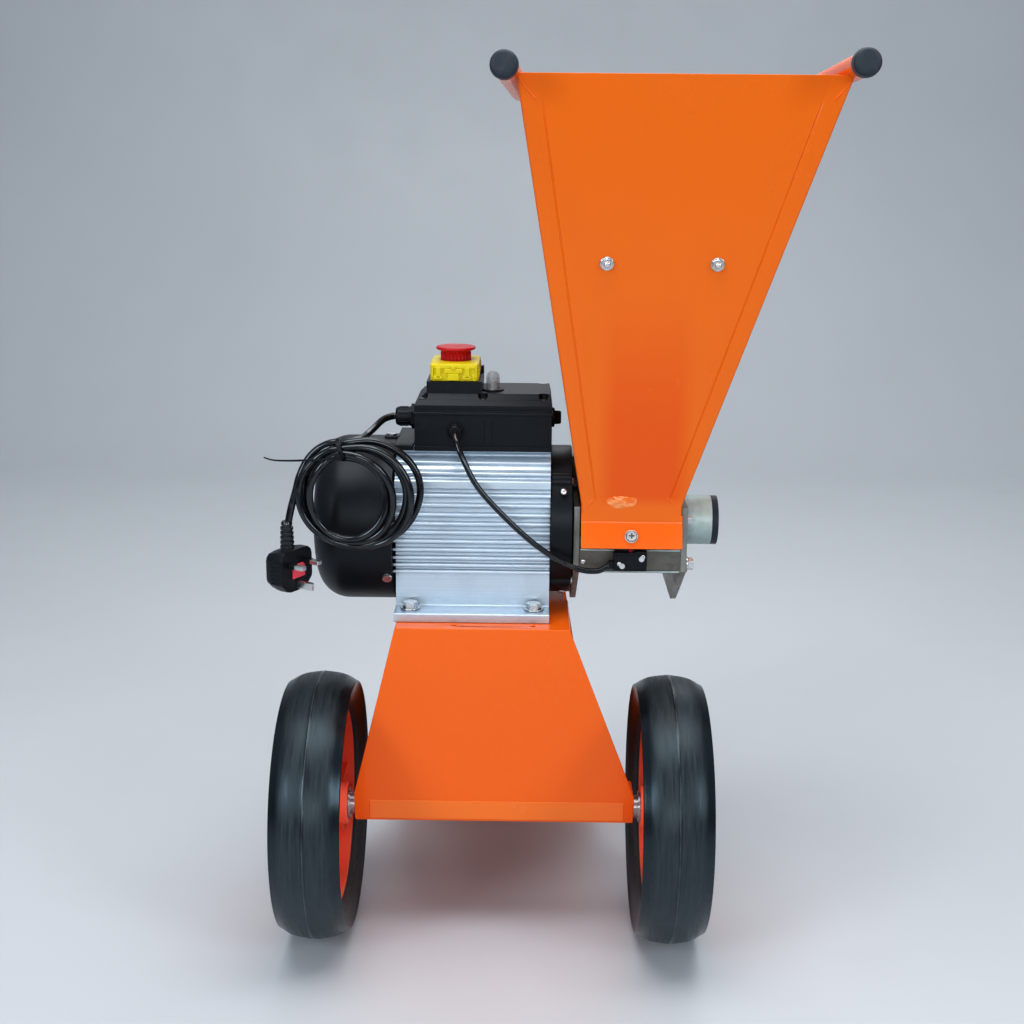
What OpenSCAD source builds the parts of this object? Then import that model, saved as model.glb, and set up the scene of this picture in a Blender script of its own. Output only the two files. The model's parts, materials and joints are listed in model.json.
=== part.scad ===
// Electric drum wood chipper on two wheels and a front foot.
// Millimetres, +Z up. The operator stands at -Y and chips leave towards +Y.
// The origin is the centre of the front foot's resting face, on the ground.

/* [Wheels and base] */
// Outside diameter of both tyres
wheel_d = 254; // [250:1:256]
// Width of both tyres
tyre_w = 64; // [60:1:65]
// Distance between the two wheel centres
track = 333.5; // [333:0.5:340]
// Distance from the axle to the middle of the front foot
wheelbase = 268; // [262:1:274]
// Thickness of the folded base sheet
base_sheet = 3; // [2.5:0.5:3]
// Height of the deck that carries the motor
deck_z = 310; // [310:1:310]

/* [Motor] */
// Radius of the stator bore in the motor housing
stator_r = 60; // [58:0.5:60]
// Outside radius of the fan cover
fan_cover_r = 80; // [80:0.5:81]
// Number of cooling fins on each side of the housing
fin_count = 14; // [12:1:15]

/* [Chipping unit] */
// Radius of the drum body
drum_r = 43; // [40:0.5:44]
// Inside radius of the casing round the drum
casing_r = 50; // [50:0.5:51]
// Thickness of the two steel side plates
plate_t = 6; // [5:0.5:6]

/* [Hopper] */
// Sheet thickness of the hopper
hopper_sheet = 2; // [1.5:0.5:2]
// Height of the hopper mouth above the ground
mouth_z = 804; // [780:1:810]
// Opening of the hopper mouth from front to back
mouth_depth = 250; // [230:1:260]
// Outside diameter of the two handle tubes
handle_d = 21; // [20:0.5:22]

/* [Hidden] */
$fn = 96;
fit = 0.05;

axle_y = -wheelbase;
axle_z = wheel_d / 2;
axle_r = 8;
wheel_x = track / 2;
half_tyre = tyre_w / 2;
rim_r = 94;
boss_half = 26;

base_half = 133.5;
deck_x0 = -93;
deck_x1 = 69;
deck_y0 = -12;
deck_y1 = 190;
foot_half = 112;
foot_t = 6;

motor_y = 93;
motor_z = deck_z + 80;
body_x0 = -96;
body_x1 = 51;
// Angles from straight up of the three screws round the fan cover.
fan_screw_angles = [0, 121, 239];
foot_bolt_x = [-81, 36];
foot_bolt_y = [-72, 72];

plate_l = 72.5;
inner_l = plate_l + plate_t;
inner_r = 173.5;
outer_r = inner_r + plate_t;
hinge_y = 152;
hinge_z = 434;

box_x0 = -78;
box_x1 = 51;
box_y0 = 48;
box_y1 = 132;
lid_z = 505;
lid_top = 519;
switch_x = -41;
switch_y = 90;

hopper_x0 = 79;
hopper_x1 = 173;
hopper_z0 = 421;
mouth_x0 = 15;
mouth_x1 = 298.5;
rear_y0 = 23;
rear_y1 = -20;
far_y0 = 90.5;
far_z0 = 447;
bend_z = 404;

orange = [0.90, 0.32, 0.08];
black = [0.06, 0.06, 0.07];
zinc = [0.70, 0.71, 0.68];
steel = [0.60, 0.61, 0.62];
alloy = [0.80, 0.82, 0.84];

// Everything is drawn from the axle line on the ground, then moved back by the wheelbase.
module from_axle() {
    translate([0, axle_y, 0]) children();
}

// A profile drawn in Y and Z, given a width from x0 to x1.
module side_profile(x0, x1) {
    translate([x0, 0, 0]) rotate([90, 0, 90]) linear_extrude(x1 - x0) children();
}

// A profile drawn in X and Z, given a depth from y0 to y1.
module front_profile(y0, y1) {
    translate([0, y1, 0]) rotate([90, 0, 0]) linear_extrude(y1 - y0) children();
}

// A rod along X.
module rod_x(x0, x1, r) {
    translate([x0, 0, 0]) rotate([0, 90, 0]) cylinder(h = x1 - x0, r = r);
}

// A ring along X.
module ring_x(x0, x1, r_out, r_in) {
    difference() {
        rod_x(x0, x1, r_out);
        rod_x(x0 - 1, x1 + 1, r_in);
    }
}

// A profile of radius and distance, turned round the X axis.
module turned_x() {
    rotate([0, 90, 0]) rotate_extrude() children();
}

module on_motor_axis() {
    from_axle() translate([0, motor_y, motor_z]) children();
}

module at_wheel(side) {
    from_axle() translate([side * wheel_x, 0, axle_z]) children();
}

// ---- base ----

module base_side() {
    t = base_sheet;
    y_foot = wheelbase - 15;
    polygon([
        [deck_y0, 117], [deck_y0 - 4, 144], [deck_y0, deck_z], [deck_y1, deck_z], [y_foot, foot_t + t],
        [wheelbase + 20, foot_t + t], [wheelbase + 20, foot_t], [y_foot - 2.5, foot_t],
        [deck_y1 - 2.5, deck_z - t], [deck_y0 + t, deck_z - t], [deck_y0 + t - 4, 144],
        [deck_y0 + t, 117],
    ]);
}

module base_frame() {
    color(orange) from_axle() difference() {
        intersection() {
            side_profile(-base_half, base_half) base_side();
            union() {
                front_profile(-30, 80) polygon([
                    [-base_half, 110], [base_half, 110], [base_half, 144], [deck_x1, deck_z + 1],
                    [deck_x0, deck_z + 1], [-base_half, 144],
                ]);
                front_profile(80, wheelbase + 30) polygon([
                    [-foot_half, 0], [foot_half, 0], [foot_half, 40], [deck_x1 - 3, deck_z + 1],
                    [deck_x0 + 3, deck_z + 1], [-foot_half, 40],
                ]);
            }
        }
        for (x = foot_bolt_x, y = foot_bolt_y)
            translate([x, motor_y + y, deck_z - 10]) cylinder(h = 20, r = 4.2);
        for (x = [-38.8, 35.4])
            translate([x, -1, deck_z - 10]) cylinder(h = 20, r = 2.5);
    }
}

module axle_channel() {
    color(orange) from_axle() difference() {
        translate([-base_half, -9, 114]) cube([2 * base_half, 31, 29]);
        translate([-base_half + 3, -6, 117]) cube([2 * base_half - 6, 25, 23]);
        translate([0, 0, axle_z]) rod_x(-140, 140, axle_r + fit);
    }
}

module front_foot() {
    color(black) from_axle()
        translate([-foot_half, wheelbase - 20, 0]) cube([2 * foot_half, 40, foot_t]);
}

module axle() {
    color(steel) from_axle() translate([0, 0, axle_z]) rod_x(-206, 206, axle_r);
}

module axle_collars() {
    color(zinc) for (side = [-1, 1]) at_wheel(side) mirror([side < 0 ? 1 : 0, 0, 0]) {
        ring_x(base_half - wheel_x + 0.1, -boss_half - 2.1, 11, axle_r + fit);
        ring_x(-boss_half - 2.1, -boss_half - 0.1, 15, axle_r + fit);
        ring_x(boss_half + 0.1, boss_half + 2.1, 15, axle_r + fit);
    }
}

module axle_nuts() {
    color(zinc) for (side = [-1, 1]) at_wheel(side) mirror([side < 0 ? 1 : 0, 0, 0]) difference() {
        translate([boss_half + 2.1, 0, 0]) rotate([0, 90, 0]) cylinder(h = 9, r = 13.8, $fn = 6);
        rod_x(0, 60, axle_r + fit);
    }
}

// ---- wheels ----

// The inner face is at -X before mirroring.
module tyre_solid() {
    shoulder = 14;
    tread_r = wheel_d / 2;
    turned_x() difference() {
        union() {
            translate([rim_r, -half_tyre]) square([tread_r - shoulder - rim_r, tyre_w]);
            translate([rim_r, shoulder - half_tyre]) square([tread_r - rim_r, tyre_w - 2 * shoulder]);
            for (w = [shoulder - half_tyre, half_tyre - shoulder])
                translate([tread_r - shoulder, w]) circle(shoulder);
        }
        polygon([[rim_r - 1, -21], [rim_r, -21], [117, -half_tyre - 0.1], [rim_r - 1, -half_tyre - 0.1]]);
        polygon([[rim_r - 1, 21], [rim_r, 21], [117, half_tyre + 0.1], [rim_r - 1, half_tyre + 0.1]]);
    }
}

module hub_solid() {
    seat_r = rim_r - fit;
    difference() {
        union() {
            ring_x(-20, 20, seat_r, 87);
            ring_x(-2, 2, 88, 19);
            rod_x(-boss_half, boss_half, 20);
            for (a = [0:45:315])
                rotate([a, 0, 0]) translate([-14, -2, 18]) cube([28, 4, 70]);
        }
        rod_x(-40, 40, axle_r + fit);
    }
}

module left_tyre() {
    color(black) at_wheel(-1) mirror([1, 0, 0]) tyre_solid();
}

module left_hub() {
    color(orange) at_wheel(-1) mirror([1, 0, 0]) hub_solid();
}

module right_tyre() {
    color(black) at_wheel(1) tyre_solid();
}

module right_hub() {
    color(orange) at_wheel(1) hub_solid();
}

// ---- motor ----

module motor_housing() {
    fin_pitch = 122 / (fin_count - 1);
    color(alloy) difference() {
        on_motor_axis() difference() {
            union() {
                side_profile(body_x0, body_x1) {
                    circle(stator_r + 4);
                    translate([-42, 40]) square([84, 40]);
                    translate([-62, -80]) square([124, 36]);
                    translate([-88, -80]) square([176, 9]);
                }
                side_profile(body_x0 - 2, body_x1) intersection() {
                    for (i = [0:fin_count - 1])
                        translate([-70, -45 + i * fin_pitch]) square([140, 3]);
                    translate([-65, -60]) square([130, 140]);
                    circle(88);
                }
            }
            rod_x(body_x0 - 5, body_x1 + 5, stator_r);
        }
        from_axle() for (x = foot_bolt_x, y = foot_bolt_y)
            translate([x, motor_y + y, deck_z - 5]) cylinder(h = 20, r = 4.2);
    }
}

module stator_core() {
    color(steel) on_motor_axis() difference() {
        rod_x(-76, 30, stator_r - fit);
        rod_x(-80, 40, 37.2);
        for (a = [0:15:345])
            rotate([a, 0, 0]) translate([-80, -2, 36]) cube([120, 4, 14]);
    }
}

module stator_windings() {
    color([0.65, 0.30, 0.12]) on_motor_axis() {
        for (x = [-84, 38]) translate([x, 0, 0]) turned_x() translate([50, 0]) circle(7.8);
        for (a = [0:15:345])
            rotate([a, 0, 0]) translate([-84, -1.5, 44]) cube([122, 3, 5]);
    }
}

module drive_end_shield() {
    color(black) on_motor_axis() difference() {
        union() {
            rod_x(body_x1, plate_l - 1.5, 72);
            rod_x(body_x1, plate_l, 58);
            for (a = [45:90:315])
                rotate([a, 0, 0]) translate([0, 0, 68]) rod_x(body_x1 + 0.5, plate_l - 2, 8);
        }
        rod_x(body_x1 - 1, 55.8, 57);
        rod_x(body_x1 - 1, 71, 26);
        rod_x(body_x1 - 1, 80, 14);
        for (a = [45:90:315])
            rotate([a, 0, 0]) translate([0, 0, 68]) rod_x(40, 80, 2.6);
    }
}

module fan_end_shield() {
    color(black) on_motor_axis() difference() {
        union() {
            rod_x(-108, body_x0 - 2, fan_cover_r - 2.5 - fit);
            rod_x(-110, -92.5, 30);
        }
        rod_x(-108, -94, 23.5);
        rod_x(-120, -90, 13);
        rod_x(-95, -90, 15 + 3 * fit);
        for (a = [45:90:315])
            rotate([a, 0, 0]) translate([0, 0, 68]) rod_x(-120, -80, 2.6);
        for (a = fan_screw_angles)
            rotate([a, 0, 0]) translate([-103, 0, 66]) cylinder(h = 20, r = 2.5);
    }
}

module fan_cover() {
    wall = 2.5;
    round = 30;
    x_end = -174;
    depth = body_x0 - 2 - x_end;
    color(black) on_motor_axis() difference() {
        translate([x_end, 0, 0]) turned_x() difference() {
            union() {
                translate([0, round]) square([fan_cover_r, depth - round]);
                square([fan_cover_r - round, depth]);
                intersection() {
                    translate([fan_cover_r - round, round]) circle(round);
                    square([fan_cover_r, depth]);
                }
            }
            translate([0, round]) square([fan_cover_r - wall, depth]);
            translate([0, wall]) square([fan_cover_r - round, depth]);
            intersection() {
                translate([fan_cover_r - round, round]) circle(round - wall);
                square([fan_cover_r, depth]);
            }
        }
        for (i = [-4:4])
            for (s = [-1, 1])
                translate([x_end - 5, i * 10 - 2, s > 0 ? 3 : -41]) cube([12, 4, 38]);
        for (a = fan_screw_angles)
            rotate([a, 0, 0]) translate([-103, 0, 66]) cylinder(h = 20, r = 2.6);
    }
}

// Radial screws of the fan cover and the ends of the long screws that clamp both shields.
module motor_screws() {
    color(zinc) on_motor_axis() {
        for (a = fan_screw_angles)
            rotate([a, 0, 0]) translate([-103, 0, 0]) {
                translate([0, 0, 68]) cylinder(h = 14, r = 2.4);
                translate([0, 0, fan_cover_r + 0.3]) cylinder(h = 3, r = 4.5);
            }
        for (a = [45:90:315])
            rotate([a, 0, 0]) translate([0, 0, 68]) {
                rod_x(body_x1 + 0.2, plate_l - 0.1, 2.5);
                rod_x(-108, -98.1, 2.5);
            }
    }
}

module motor_foot_bolts() {
    color(zinc) from_axle() for (x = foot_bolt_x, y = foot_bolt_y)
        translate([x, motor_y + y, 0]) {
            translate([0, 0, deck_z - 12]) cylinder(h = 22, r = 4);
            translate([0, 0, deck_z + 9]) cylinder(h = 1.5, r = 8);
            translate([0, 0, deck_z + 10.5]) cylinder(h = 5.3, r = 7.4, $fn = 6);
            translate([0, 0, deck_z - base_sheet - 6.5]) cylinder(h = 6.5, r = 7.4, $fn = 6);
        }
}

// Three ball bearings: fan end, drive end and outboard. Each entry is x0, x1, outer r, bore r.
bearings = [[-108, -94, 23.5, 10], [56, 71, 26, 12.5], [188, 200, 20, 8.5]];

module bearing_outer_rings() {
    color(steel) on_motor_axis() for (b = bearings)
        ring_x(b[0] + 0.05, b[1] - 0.05, b[2] - fit, (b[2] + b[3]) / 2 + 0.4);
}

module bearing_inner_rings() {
    color(steel) on_motor_axis() for (b = bearings)
        ring_x(b[0] + 0.05, b[1] - 0.05, (b[2] + b[3]) / 2 - 0.4, b[3] + fit);
}

module motor_shaft() {
    color(steel) on_motor_axis() {
        rod_x(-150, -93.9, 10);
        rod_x(-93.9, 55.9, 15);
        rod_x(55.9, 187.9, 12.5);
        rod_x(187.9, 206, 8.5);
    }
}

module rotor_core() {
    color(steel) on_motor_axis() {
        ring_x(-76, 30, 36.6, 15 + fit);
        ring_x(-82, -76, 34, 24);
        ring_x(30, 36, 34, 24);
    }
}

module cooling_fan() {
    color(black) on_motor_axis() {
        ring_x(-146, -116, 16, 10 + fit);
        ring_x(-119, -116, 62, 14);
        for (a = [0:45:315])
            rotate([a, 0, 0]) translate([-142, -1.5, 15]) cube([24, 3, 43]);
    }
}

// ---- rotor in the chipping unit ----

module drum_pocket() {
    translate([80, 6, 34]) cube([100, 60, 40]);
}

module chipper_drum() {
    color(steel) on_motor_axis() difference() {
        rod_x(83, 169, drum_r);
        rod_x(80, 175, 12.5 + fit);
        for (a = [0, 180])
            rotate([a, 0, 0]) {
                drum_pocket();
                for (x = [104, 148])
                    translate([x, 15, 18]) cylinder(h = 20, r = 4.05);
            }
    }
}

module drum_knives() {
    color(zinc) on_motor_axis() for (a = [0, 180])
        rotate([a, 0, 0]) difference() {
            side_profile(83, 169) polygon([[7, 34], [21, 34], [25.8, 40], [7, 40]]);
            for (x = [104, 148]) translate([x, 15, 30]) {
                cylinder(h = 20, r = 4.05);
                translate([0, 0, 7]) cylinder(h = 10, r = 5.55);
            }
        }
}

module knife_bolts() {
    color(steel) on_motor_axis() for (a = [0, 180], x = [104, 148])
        rotate([a, 0, 0]) translate([x, 15, 18.1]) {
            cylinder(h = 19.5, r = 4);
            translate([0, 0, 18.9]) cylinder(h = 3, r = 5.5);
        }
}

// ---- chipping unit housing ----

// Where the cross bolt runs through both plates, in Y and Z.
cross_bolt = [37.5, 361];
anvil_bolt_x = [95, 157];

module plate_side() {
    difference() {
        polygon([
            [28, 355], [28, 418], [108, 418], [118, 447], [168, 447], [205, 410], [205, 304], [106, 304],
        ]);
        translate([motor_y, motor_z]) circle(16);
        translate([hinge_y, hinge_z]) circle(5 + fit);
        translate(cross_bolt) circle(3 + fit);
    }
}

module side_plates() {
    color(zinc) from_axle() {
        side_profile(plate_l, inner_l) plate_side();
        side_profile(inner_r, outer_r) plate_side();
    }
}

module cross_plate() {
    color(zinc) from_axle() difference() {
        union() {
            side_profile(inner_l, inner_r) polygon([
                [27, 355], [27, 378], [43, 378], [43, 375], [31, 375], [31, 369], [43, 369], [43, 355],
            ]);
            translate([112, 27, 375]) cube([28, 3.5, 22]);
        }
        // Open slot for the clamp bolt.
        translate([121.5, 20, 381]) cube([9, 20, 30]);
        translate([0, cross_bolt[0], cross_bolt[1]]) rod_x(inner_l - 1, inner_r + 1, 3 + fit);
        for (x = anvil_bolt_x)
            translate([x, 37.5, 372]) cylinder(h = 10, r = 3 + fit);
        switch_screw_holes();
    }
}

module anvil_bar() {
    color(steel) from_axle() difference() {
        side_profile(inner_l, inner_r) polygon([
            [31.2, 378], [31.2, 388], [44.2, 388], [41.5, 378],
        ]);
        for (x = anvil_bolt_x) translate([x, 37.5, 372]) {
            cylinder(h = 20, r = 3 + fit);
            translate([0, 0, 12]) cylinder(h = 20, r = 5.3);
        }
    }
}

module casing_side() {
    r = casing_r;
    translate([motor_y, motor_z]) intersection() {
        difference() {
            circle(r + 3);
            circle(r);
        }
        polygon([[0, 0], [-100, -37], [-100, -100], [0, -100]]);
    }
    translate([motor_y, motor_z]) intersection() {
        difference() {
            circle(r + 3);
            circle(r);
        }
        polygon([[0, 0], [100, 12], [100, 100], [25, 95]]);
    }
    translate([motor_y, motor_z - r - 3]) square([205 - motor_y, 3]);
    translate([motor_y + r - 1, motor_z + 12]) square([205 - motor_y - r + 1, 3]);
}

module drum_casing() {
    color(zinc) from_axle() side_profile(inner_l, inner_r) casing_side();
}

module housing_bolts() {
    color(zinc) from_axle() {
        translate([0, cross_bolt[0], cross_bolt[1]]) {
            rod_x(plate_l + 0.1, outer_r + 1, 3);
            translate([outer_r + 0.1, 0, 0]) rotate([0, 90, 0]) cylinder(h = 5, r = 5.8, $fn = 6);
        }
        for (x = anvil_bolt_x) translate([x, 37.5, 0]) {
            translate([0, 0, 370]) cylinder(h = 16, r = 3);
            translate([0, 0, 384.1]) cylinder(h = 3.8, r = 5.2);
        }
        for (p = switch_screws) translate([p[0], 0, p[1]]) rotate([-90, 0, 0]) {
            translate([0, 0, 14]) cylinder(h = 19, r = 1.5);
            translate([0, 0, 14]) cylinder(h = 1.9, r = 2.6);
        }
    }
}

module bearing_tube() {
    color(zinc) on_motor_axis() difference() {
        rod_x(outer_r, 208, 24);
        rod_x(170, 200, 20);
        rod_x(170, 220, 16);
    }
}

module tube_cap() {
    color(black) on_motor_axis() difference() {
        rod_x(208, 214, 24);
        rod_x(200, 211, 16);
    }
}

module chute_roof() {
    polygon([
        [205, 408], [230, 408], [262, 392], [284, 352], [272, 318], [270, 319], [281.8, 352],
        [260.6, 390.4], [229.5, 406], [205, 406],
    ]);
}

module chute_cheek() {
    polygon([[205, 334], [222, 331], [272, 318], [284, 352], [262, 392], [230, 408], [205, 408]]);
}

module discharge_chute() {
    color(orange) from_axle() {
        side_profile(plate_l, plate_l + 2) chute_cheek();
        side_profile(outer_r - 2, outer_r) chute_cheek();
        side_profile(plate_l, outer_r) chute_roof();
        side_profile(plate_l, outer_r) polygon([[205, 334], [222, 331], [222, 333], [205, 336]]);
    }
}

// Two small screws hold the safety switch to the cross plate.
switch_screws = [[118, 364.6], [136, 371.6]];

module switch_screw_holes() {
    for (p = switch_screws)
        translate([p[0], 10, p[1]]) rotate([-90, 0, 0]) cylinder(h = 25, r = 1.5 + fit);
}

plunger_x = 126;

module micro_switch() {
    color(black) from_axle() difference() {
        translate([110, 16, 359]) cube([31.5, 11, 18]);
        translate([plunger_x, 22, 366]) cylinder(h = 20, r = 2 + fit);
        switch_screw_holes();
    }
}

module switch_plunger() {
    color([0.75, 0.1, 0.08]) from_axle() translate([plunger_x, 22, 369]) cylinder(h = 16, r = 2);
}

lead_path = [
    [-39.6, 44, 485], [-39.6, 38, 485], [-35, 24, 474], [-8, 16.5, 427], [36.4, 15, 384.6],
    [61.9, 14, 368], [87.4, 15, 358.5], [106.5, 21, 359],
];

// A soft lead: straight runs between rounded corners.
module lead_run(path, r) {
    for (i = [0:len(path) - 2])
        hull() {
            translate(path[i]) sphere(r, $fn = 16);
            translate(path[i + 1]) sphere(r, $fn = 16);
        }
}

module safety_lead() {
    color(black) from_axle() lead_run(lead_path, 3.2);
}

// ---- hopper ----

module hopper_front_outline(inset) {
    top = mouth_z + (inset > 0 ? 1 : 0);
    low = hopper_z0 - (inset > 0 ? 1 : 0);
    polygon([
        [hopper_x0 + inset, low], [hopper_x1 - inset, low],
        [mouth_x1 - inset, top], [mouth_x0 + inset, top],
    ]);
}

module hopper_side_outline(inset) {
    top = mouth_z + (inset > 0 ? 1 : 0);
    low = hopper_z0 - (inset > 0 ? 1 : 0);
    far_y1 = rear_y1 + mouth_depth;
    polygon([
        [rear_y0 + inset, low], [far_y0 - inset, low],
        [far_y1 - inset, top], [rear_y1 + inset, top],
    ]);
}

module hinge_lug(x) {
    side_profile(x, x + 4) difference() {
        polygon([
            [101, 452], [126, 520], [159, 440], [159, 431], [153, 427], [148, 428], [104, 447],
        ]);
        translate([hinge_y, hinge_z]) circle(5 + fit);
    }
}

module hopper() {
    t = hopper_sheet;
    color(orange) from_axle() difference() {
        union() {
            difference() {
                intersection() {
                    front_profile(-60, 300) hopper_front_outline(0);
                    side_profile(-10, 330) hopper_side_outline(0);
                }
                intersection() {
                    front_profile(-60, 300) hopper_front_outline(t);
                    side_profile(-10, 330) hopper_side_outline(t);
                }
                // The far wall stops above the casing.
                translate([hopper_x0 - 20, 87, hopper_z0 - 5]) cube([150, 40, far_z0 - hopper_z0 + 5]);
            }
            // Side skirts that drop between the side plates.
            for (x = [hopper_x0, hopper_x1 - t])
                translate([x, rear_y0 + 1, 405]) cube([t, 64, 20]);
            // Upright lip and the flange that takes the clamp bolt.
            side_profile(hopper_x0, hopper_x1 + 0.5) polygon([
                [rear_y0, hopper_z0], [rear_y0, bend_z], [rear_y0 - 10, bend_z - 22],
                [rear_y0 - 8.2, bend_z - 22.8], [rear_y0 + t, bend_z - 0.4], [rear_y0 + t, hopper_z0 + 1],
            ]);
            hinge_lug(hopper_x0);
            hinge_lug(hopper_x1 - 4);
        }
        // Notches for the handle tubes along both side rims.
        for (h = handles) handle_rod(h, handle_d / 2 + fit, 400);
        for (x = flap_bolt_x)
            translate([x, -60, flap_z]) rotate([-90, 0, 0]) cylinder(h = 100, r = 3.05);
        translate([126, rear_y0 - 5, bend_z - 11.5]) rotate([66, 0, 0])
            cylinder(h = 40, r = 4 + fit, center = true);
    }
}

// Start point of each handle tube, and the direction both run in.
handles = [[5.6, -60, 808.4], [298.6, -60, 812.2]];
handle_fall = 2;
handle_yaw = -2.3;
flap_bolt_x = [96, 192.7];
flap_z = 645.5;
flap_y = 10.5;

module handle_rod(start, r, length) {
    translate(start) rotate([0, 0, handle_yaw]) rotate([-90 - handle_fall, 0, 0]) cylinder(h = length, r = r);
}

module handle_tubes() {
    color(orange) from_axle() for (h = handles) difference() {
        handle_rod(h, handle_d / 2, 285);
        handle_rod(h - [0, 1, 0], handle_d / 2 - 2, 300);
    }
}

module handle_caps() {
    color(black) from_axle() for (h = handles) difference() {
        handle_rod(h - [0, 2, 0], handle_d / 2 + 1.2, 16);
        handle_rod(h, handle_d / 2 + fit, 40);
    }
}

// Two studs through the rear panel and the rod they carry.
module flap_hanger() {
    color(zinc) from_axle() {
        for (x = flap_bolt_x) translate([x, 0, flap_z]) {
            rotate([-90, 0, 0]) translate([0, 0, -8]) cylinder(h = flap_y + 8, r = 3);
            rotate([-83.6, 0, 0]) translate([0, 0, -7.5]) cylinder(h = 5, r = 6.3);
            translate([-4, flap_y - 5, -5]) cube([8, 10, 10]);
        }
        translate([0, flap_y, flap_z]) rod_x(74, 214, 3);
    }
}

module chip_flap() {
    color(black) from_axle() translate([0, flap_y, flap_z]) difference() {
        union() {
            rotate([-38, 0, 0]) translate([0, 0, -2.5]) linear_extrude(5) polygon([
                [62, 0], [226, 0], [190, 150], [74, 150],
            ]);
            rod_x(78, 210, 6);
        }
        rod_x(40, 240, 3 + fit);
        for (x = flap_bolt_x)
            translate([x - 6, -12, -12]) cube([12, 20, 20]);
    }
}

module clamp_bolt() {
    color(zinc) from_axle() translate([126, rear_y0 - 5, bend_z - 11.5]) rotate([66, 0, 0]) {
        translate([0, 0, -12]) cylinder(h = 13, r = 4);
        translate([0, 0, 0.5]) cylinder(h = 1.5, r = 7.5);
        translate([0, 0, 2]) cylinder(h = 5, r = 6.5, $fn = 6);
    }
}

module hinge_rod() {
    color(steel) from_axle() translate([0, hinge_y, hinge_z]) {
        rod_x(plate_l + 0.1, outer_r + 3, 5);
        rod_x(outer_r + 0.2, outer_r + 4, 8);
    }
}

// ---- switch gear ----

module junction_box() {
    w = 2.5;
    color(black) from_axle() difference() {
        translate([box_x0, box_y0, 470]) cube([box_x1 - box_x0, box_y1 - box_y0, lid_z - 470]);
        translate([box_x0 + w, box_y0 + w, 472]) cube([box_x1 - box_x0 - 2 * w, box_y1 - box_y0 - 2 * w, 60]);
        translate([0, 75, 493.7]) rod_x(box_x0 - 5, box_x0 + 5, 8.05);
        translate([-39.6, box_y0 - 5, 485]) rotate([-90, 0, 0]) cylinder(h = 10, r = 5.05);
    }
}

module box_lid() {
    c = 10;
    color(black) from_axle() difference() {
        intersection() {
            side_profile(box_x0, box_x1) polygon([
                [box_y0, lid_z], [box_y0, lid_top - c], [box_y0 + c, lid_top],
                [box_y1 - c, lid_top], [box_y1, lid_top - c], [box_y1, lid_z],
            ]);
            front_profile(box_y0, box_y1) polygon([
                [box_x0, lid_z], [box_x0, lid_top - c], [box_x0 + c, lid_top],
                [box_x1 - 2, lid_top], [box_x1, lid_top - c], [box_x1, lid_z],
            ]);
        }
        translate([box_x0 + 8, box_y0 + 16, lid_z - 1])
            cube([box_x1 - box_x0 - 16, box_y1 - box_y0 - 32, 11]);
        for (x = lid_screw_x, y = lid_screw_y)
            translate([x, y, 0]) {
                translate([0, 0, lid_z - 1]) cylinder(h = 20, r = 2);
                translate([0, 0, 512]) cylinder(h = 20, r = 4.5);
            }
        translate([-5.2, 78, 500]) cylinder(h = 30, r = 4.5);
    }
}

lid_screw_x = [-70, -14, 43];
lid_screw_y = [57, 123];

module lid_screws() {
    color(zinc) from_axle() for (x = lid_screw_x, y = lid_screw_y)
        translate([x, y, 0]) {
            translate([0, 0, lid_z + 0.1]) cylinder(h = 8, r = 1.9);
            translate([0, 0, 512.05]) cylinder(h = 2.5, r = 3.5);
        }
}

module capacitors() {
    color([0.85, 0.85, 0.82]) from_axle() for (y = [70, 108])
        translate([0, y, 487.2]) rod_x(-50, 40, 15);
}

module cable_glands() {
    color(black) from_axle() difference() {
        union() {
            translate([0, 75, 493.7]) {
                rod_x(box_x0 - 20, box_x0 - 8, 9);
                translate([box_x0 - 8, 0, 0]) rotate([0, 90, 0]) cylinder(h = 8, r = 11, $fn = 6);
                rod_x(box_x0 - 1, box_x0 + 6, 8);
            }
            translate([-39.6, 0, 485]) rotate([-90, 0, 0]) {
                translate([0, 0, box_y0 - 7]) cylinder(h = 7, r = 7.5);
                translate([0, 0, box_y0 - 1]) cylinder(h = 6, r = 5);
            }
        }
        translate([0, 75, 493.7]) rod_x(box_x0 - 25, box_x0 + 10, 4.3);
        translate([-39.6, 20, 485]) rotate([-90, 0, 0]) cylinder(h = 50, r = 3.3);
    }
}

module switch_body() {
    color(black) from_axle() difference() {
        union() {
            translate([switch_x - 26, 58, lid_top]) cube([52, 64, 11]);
            for (x = [switch_x - 26, switch_x + 21]) {
                translate([x, 117.6, lid_top + 10]) cube([5, 7.4, 7]);
                translate([x, 121, lid_top + 5]) cube([5, 4, 6]);
            }
        }
        translate([switch_x, switch_y, lid_top + 1]) cylinder(h = 20, r = 10.1);
        translate([switch_x, 69, lid_top + 1]) cylinder(h = 20, r = 7.1);
    }
    // The hinge pin of the yellow cover.
    color(steel) from_axle() translate([0, 121, 533.5]) rod_x(switch_x - 25, switch_x + 25, 1.5);
}

module stop_cover() {
    color([0.95, 0.80, 0.05]) from_axle() difference() {
        union() {
            difference() {
                translate([switch_x - 24, 60, lid_top + 11.2]) cube([48, 57.5, 22.8]);
                translate([switch_x - 22, 62, lid_top + 11]) cube([44, 53.5, 21]);
                translate([switch_x - 30, 114, lid_top + 11]) cube([60, 20, 8]);
            }
            translate([0, 121, 533.5]) rod_x(switch_x - 20.8, switch_x + 20.8, 3);
            translate([switch_x - 20.8, 114.5, 533.5]) cube([41.6, 6.5, 6]);
        }
        translate([0, 121, 533.5]) rod_x(switch_x - 30, switch_x + 30, 1.5 + fit);
        translate([switch_x, switch_y, 540]) cylinder(h = 30, r = 14.6);
    }
}

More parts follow.
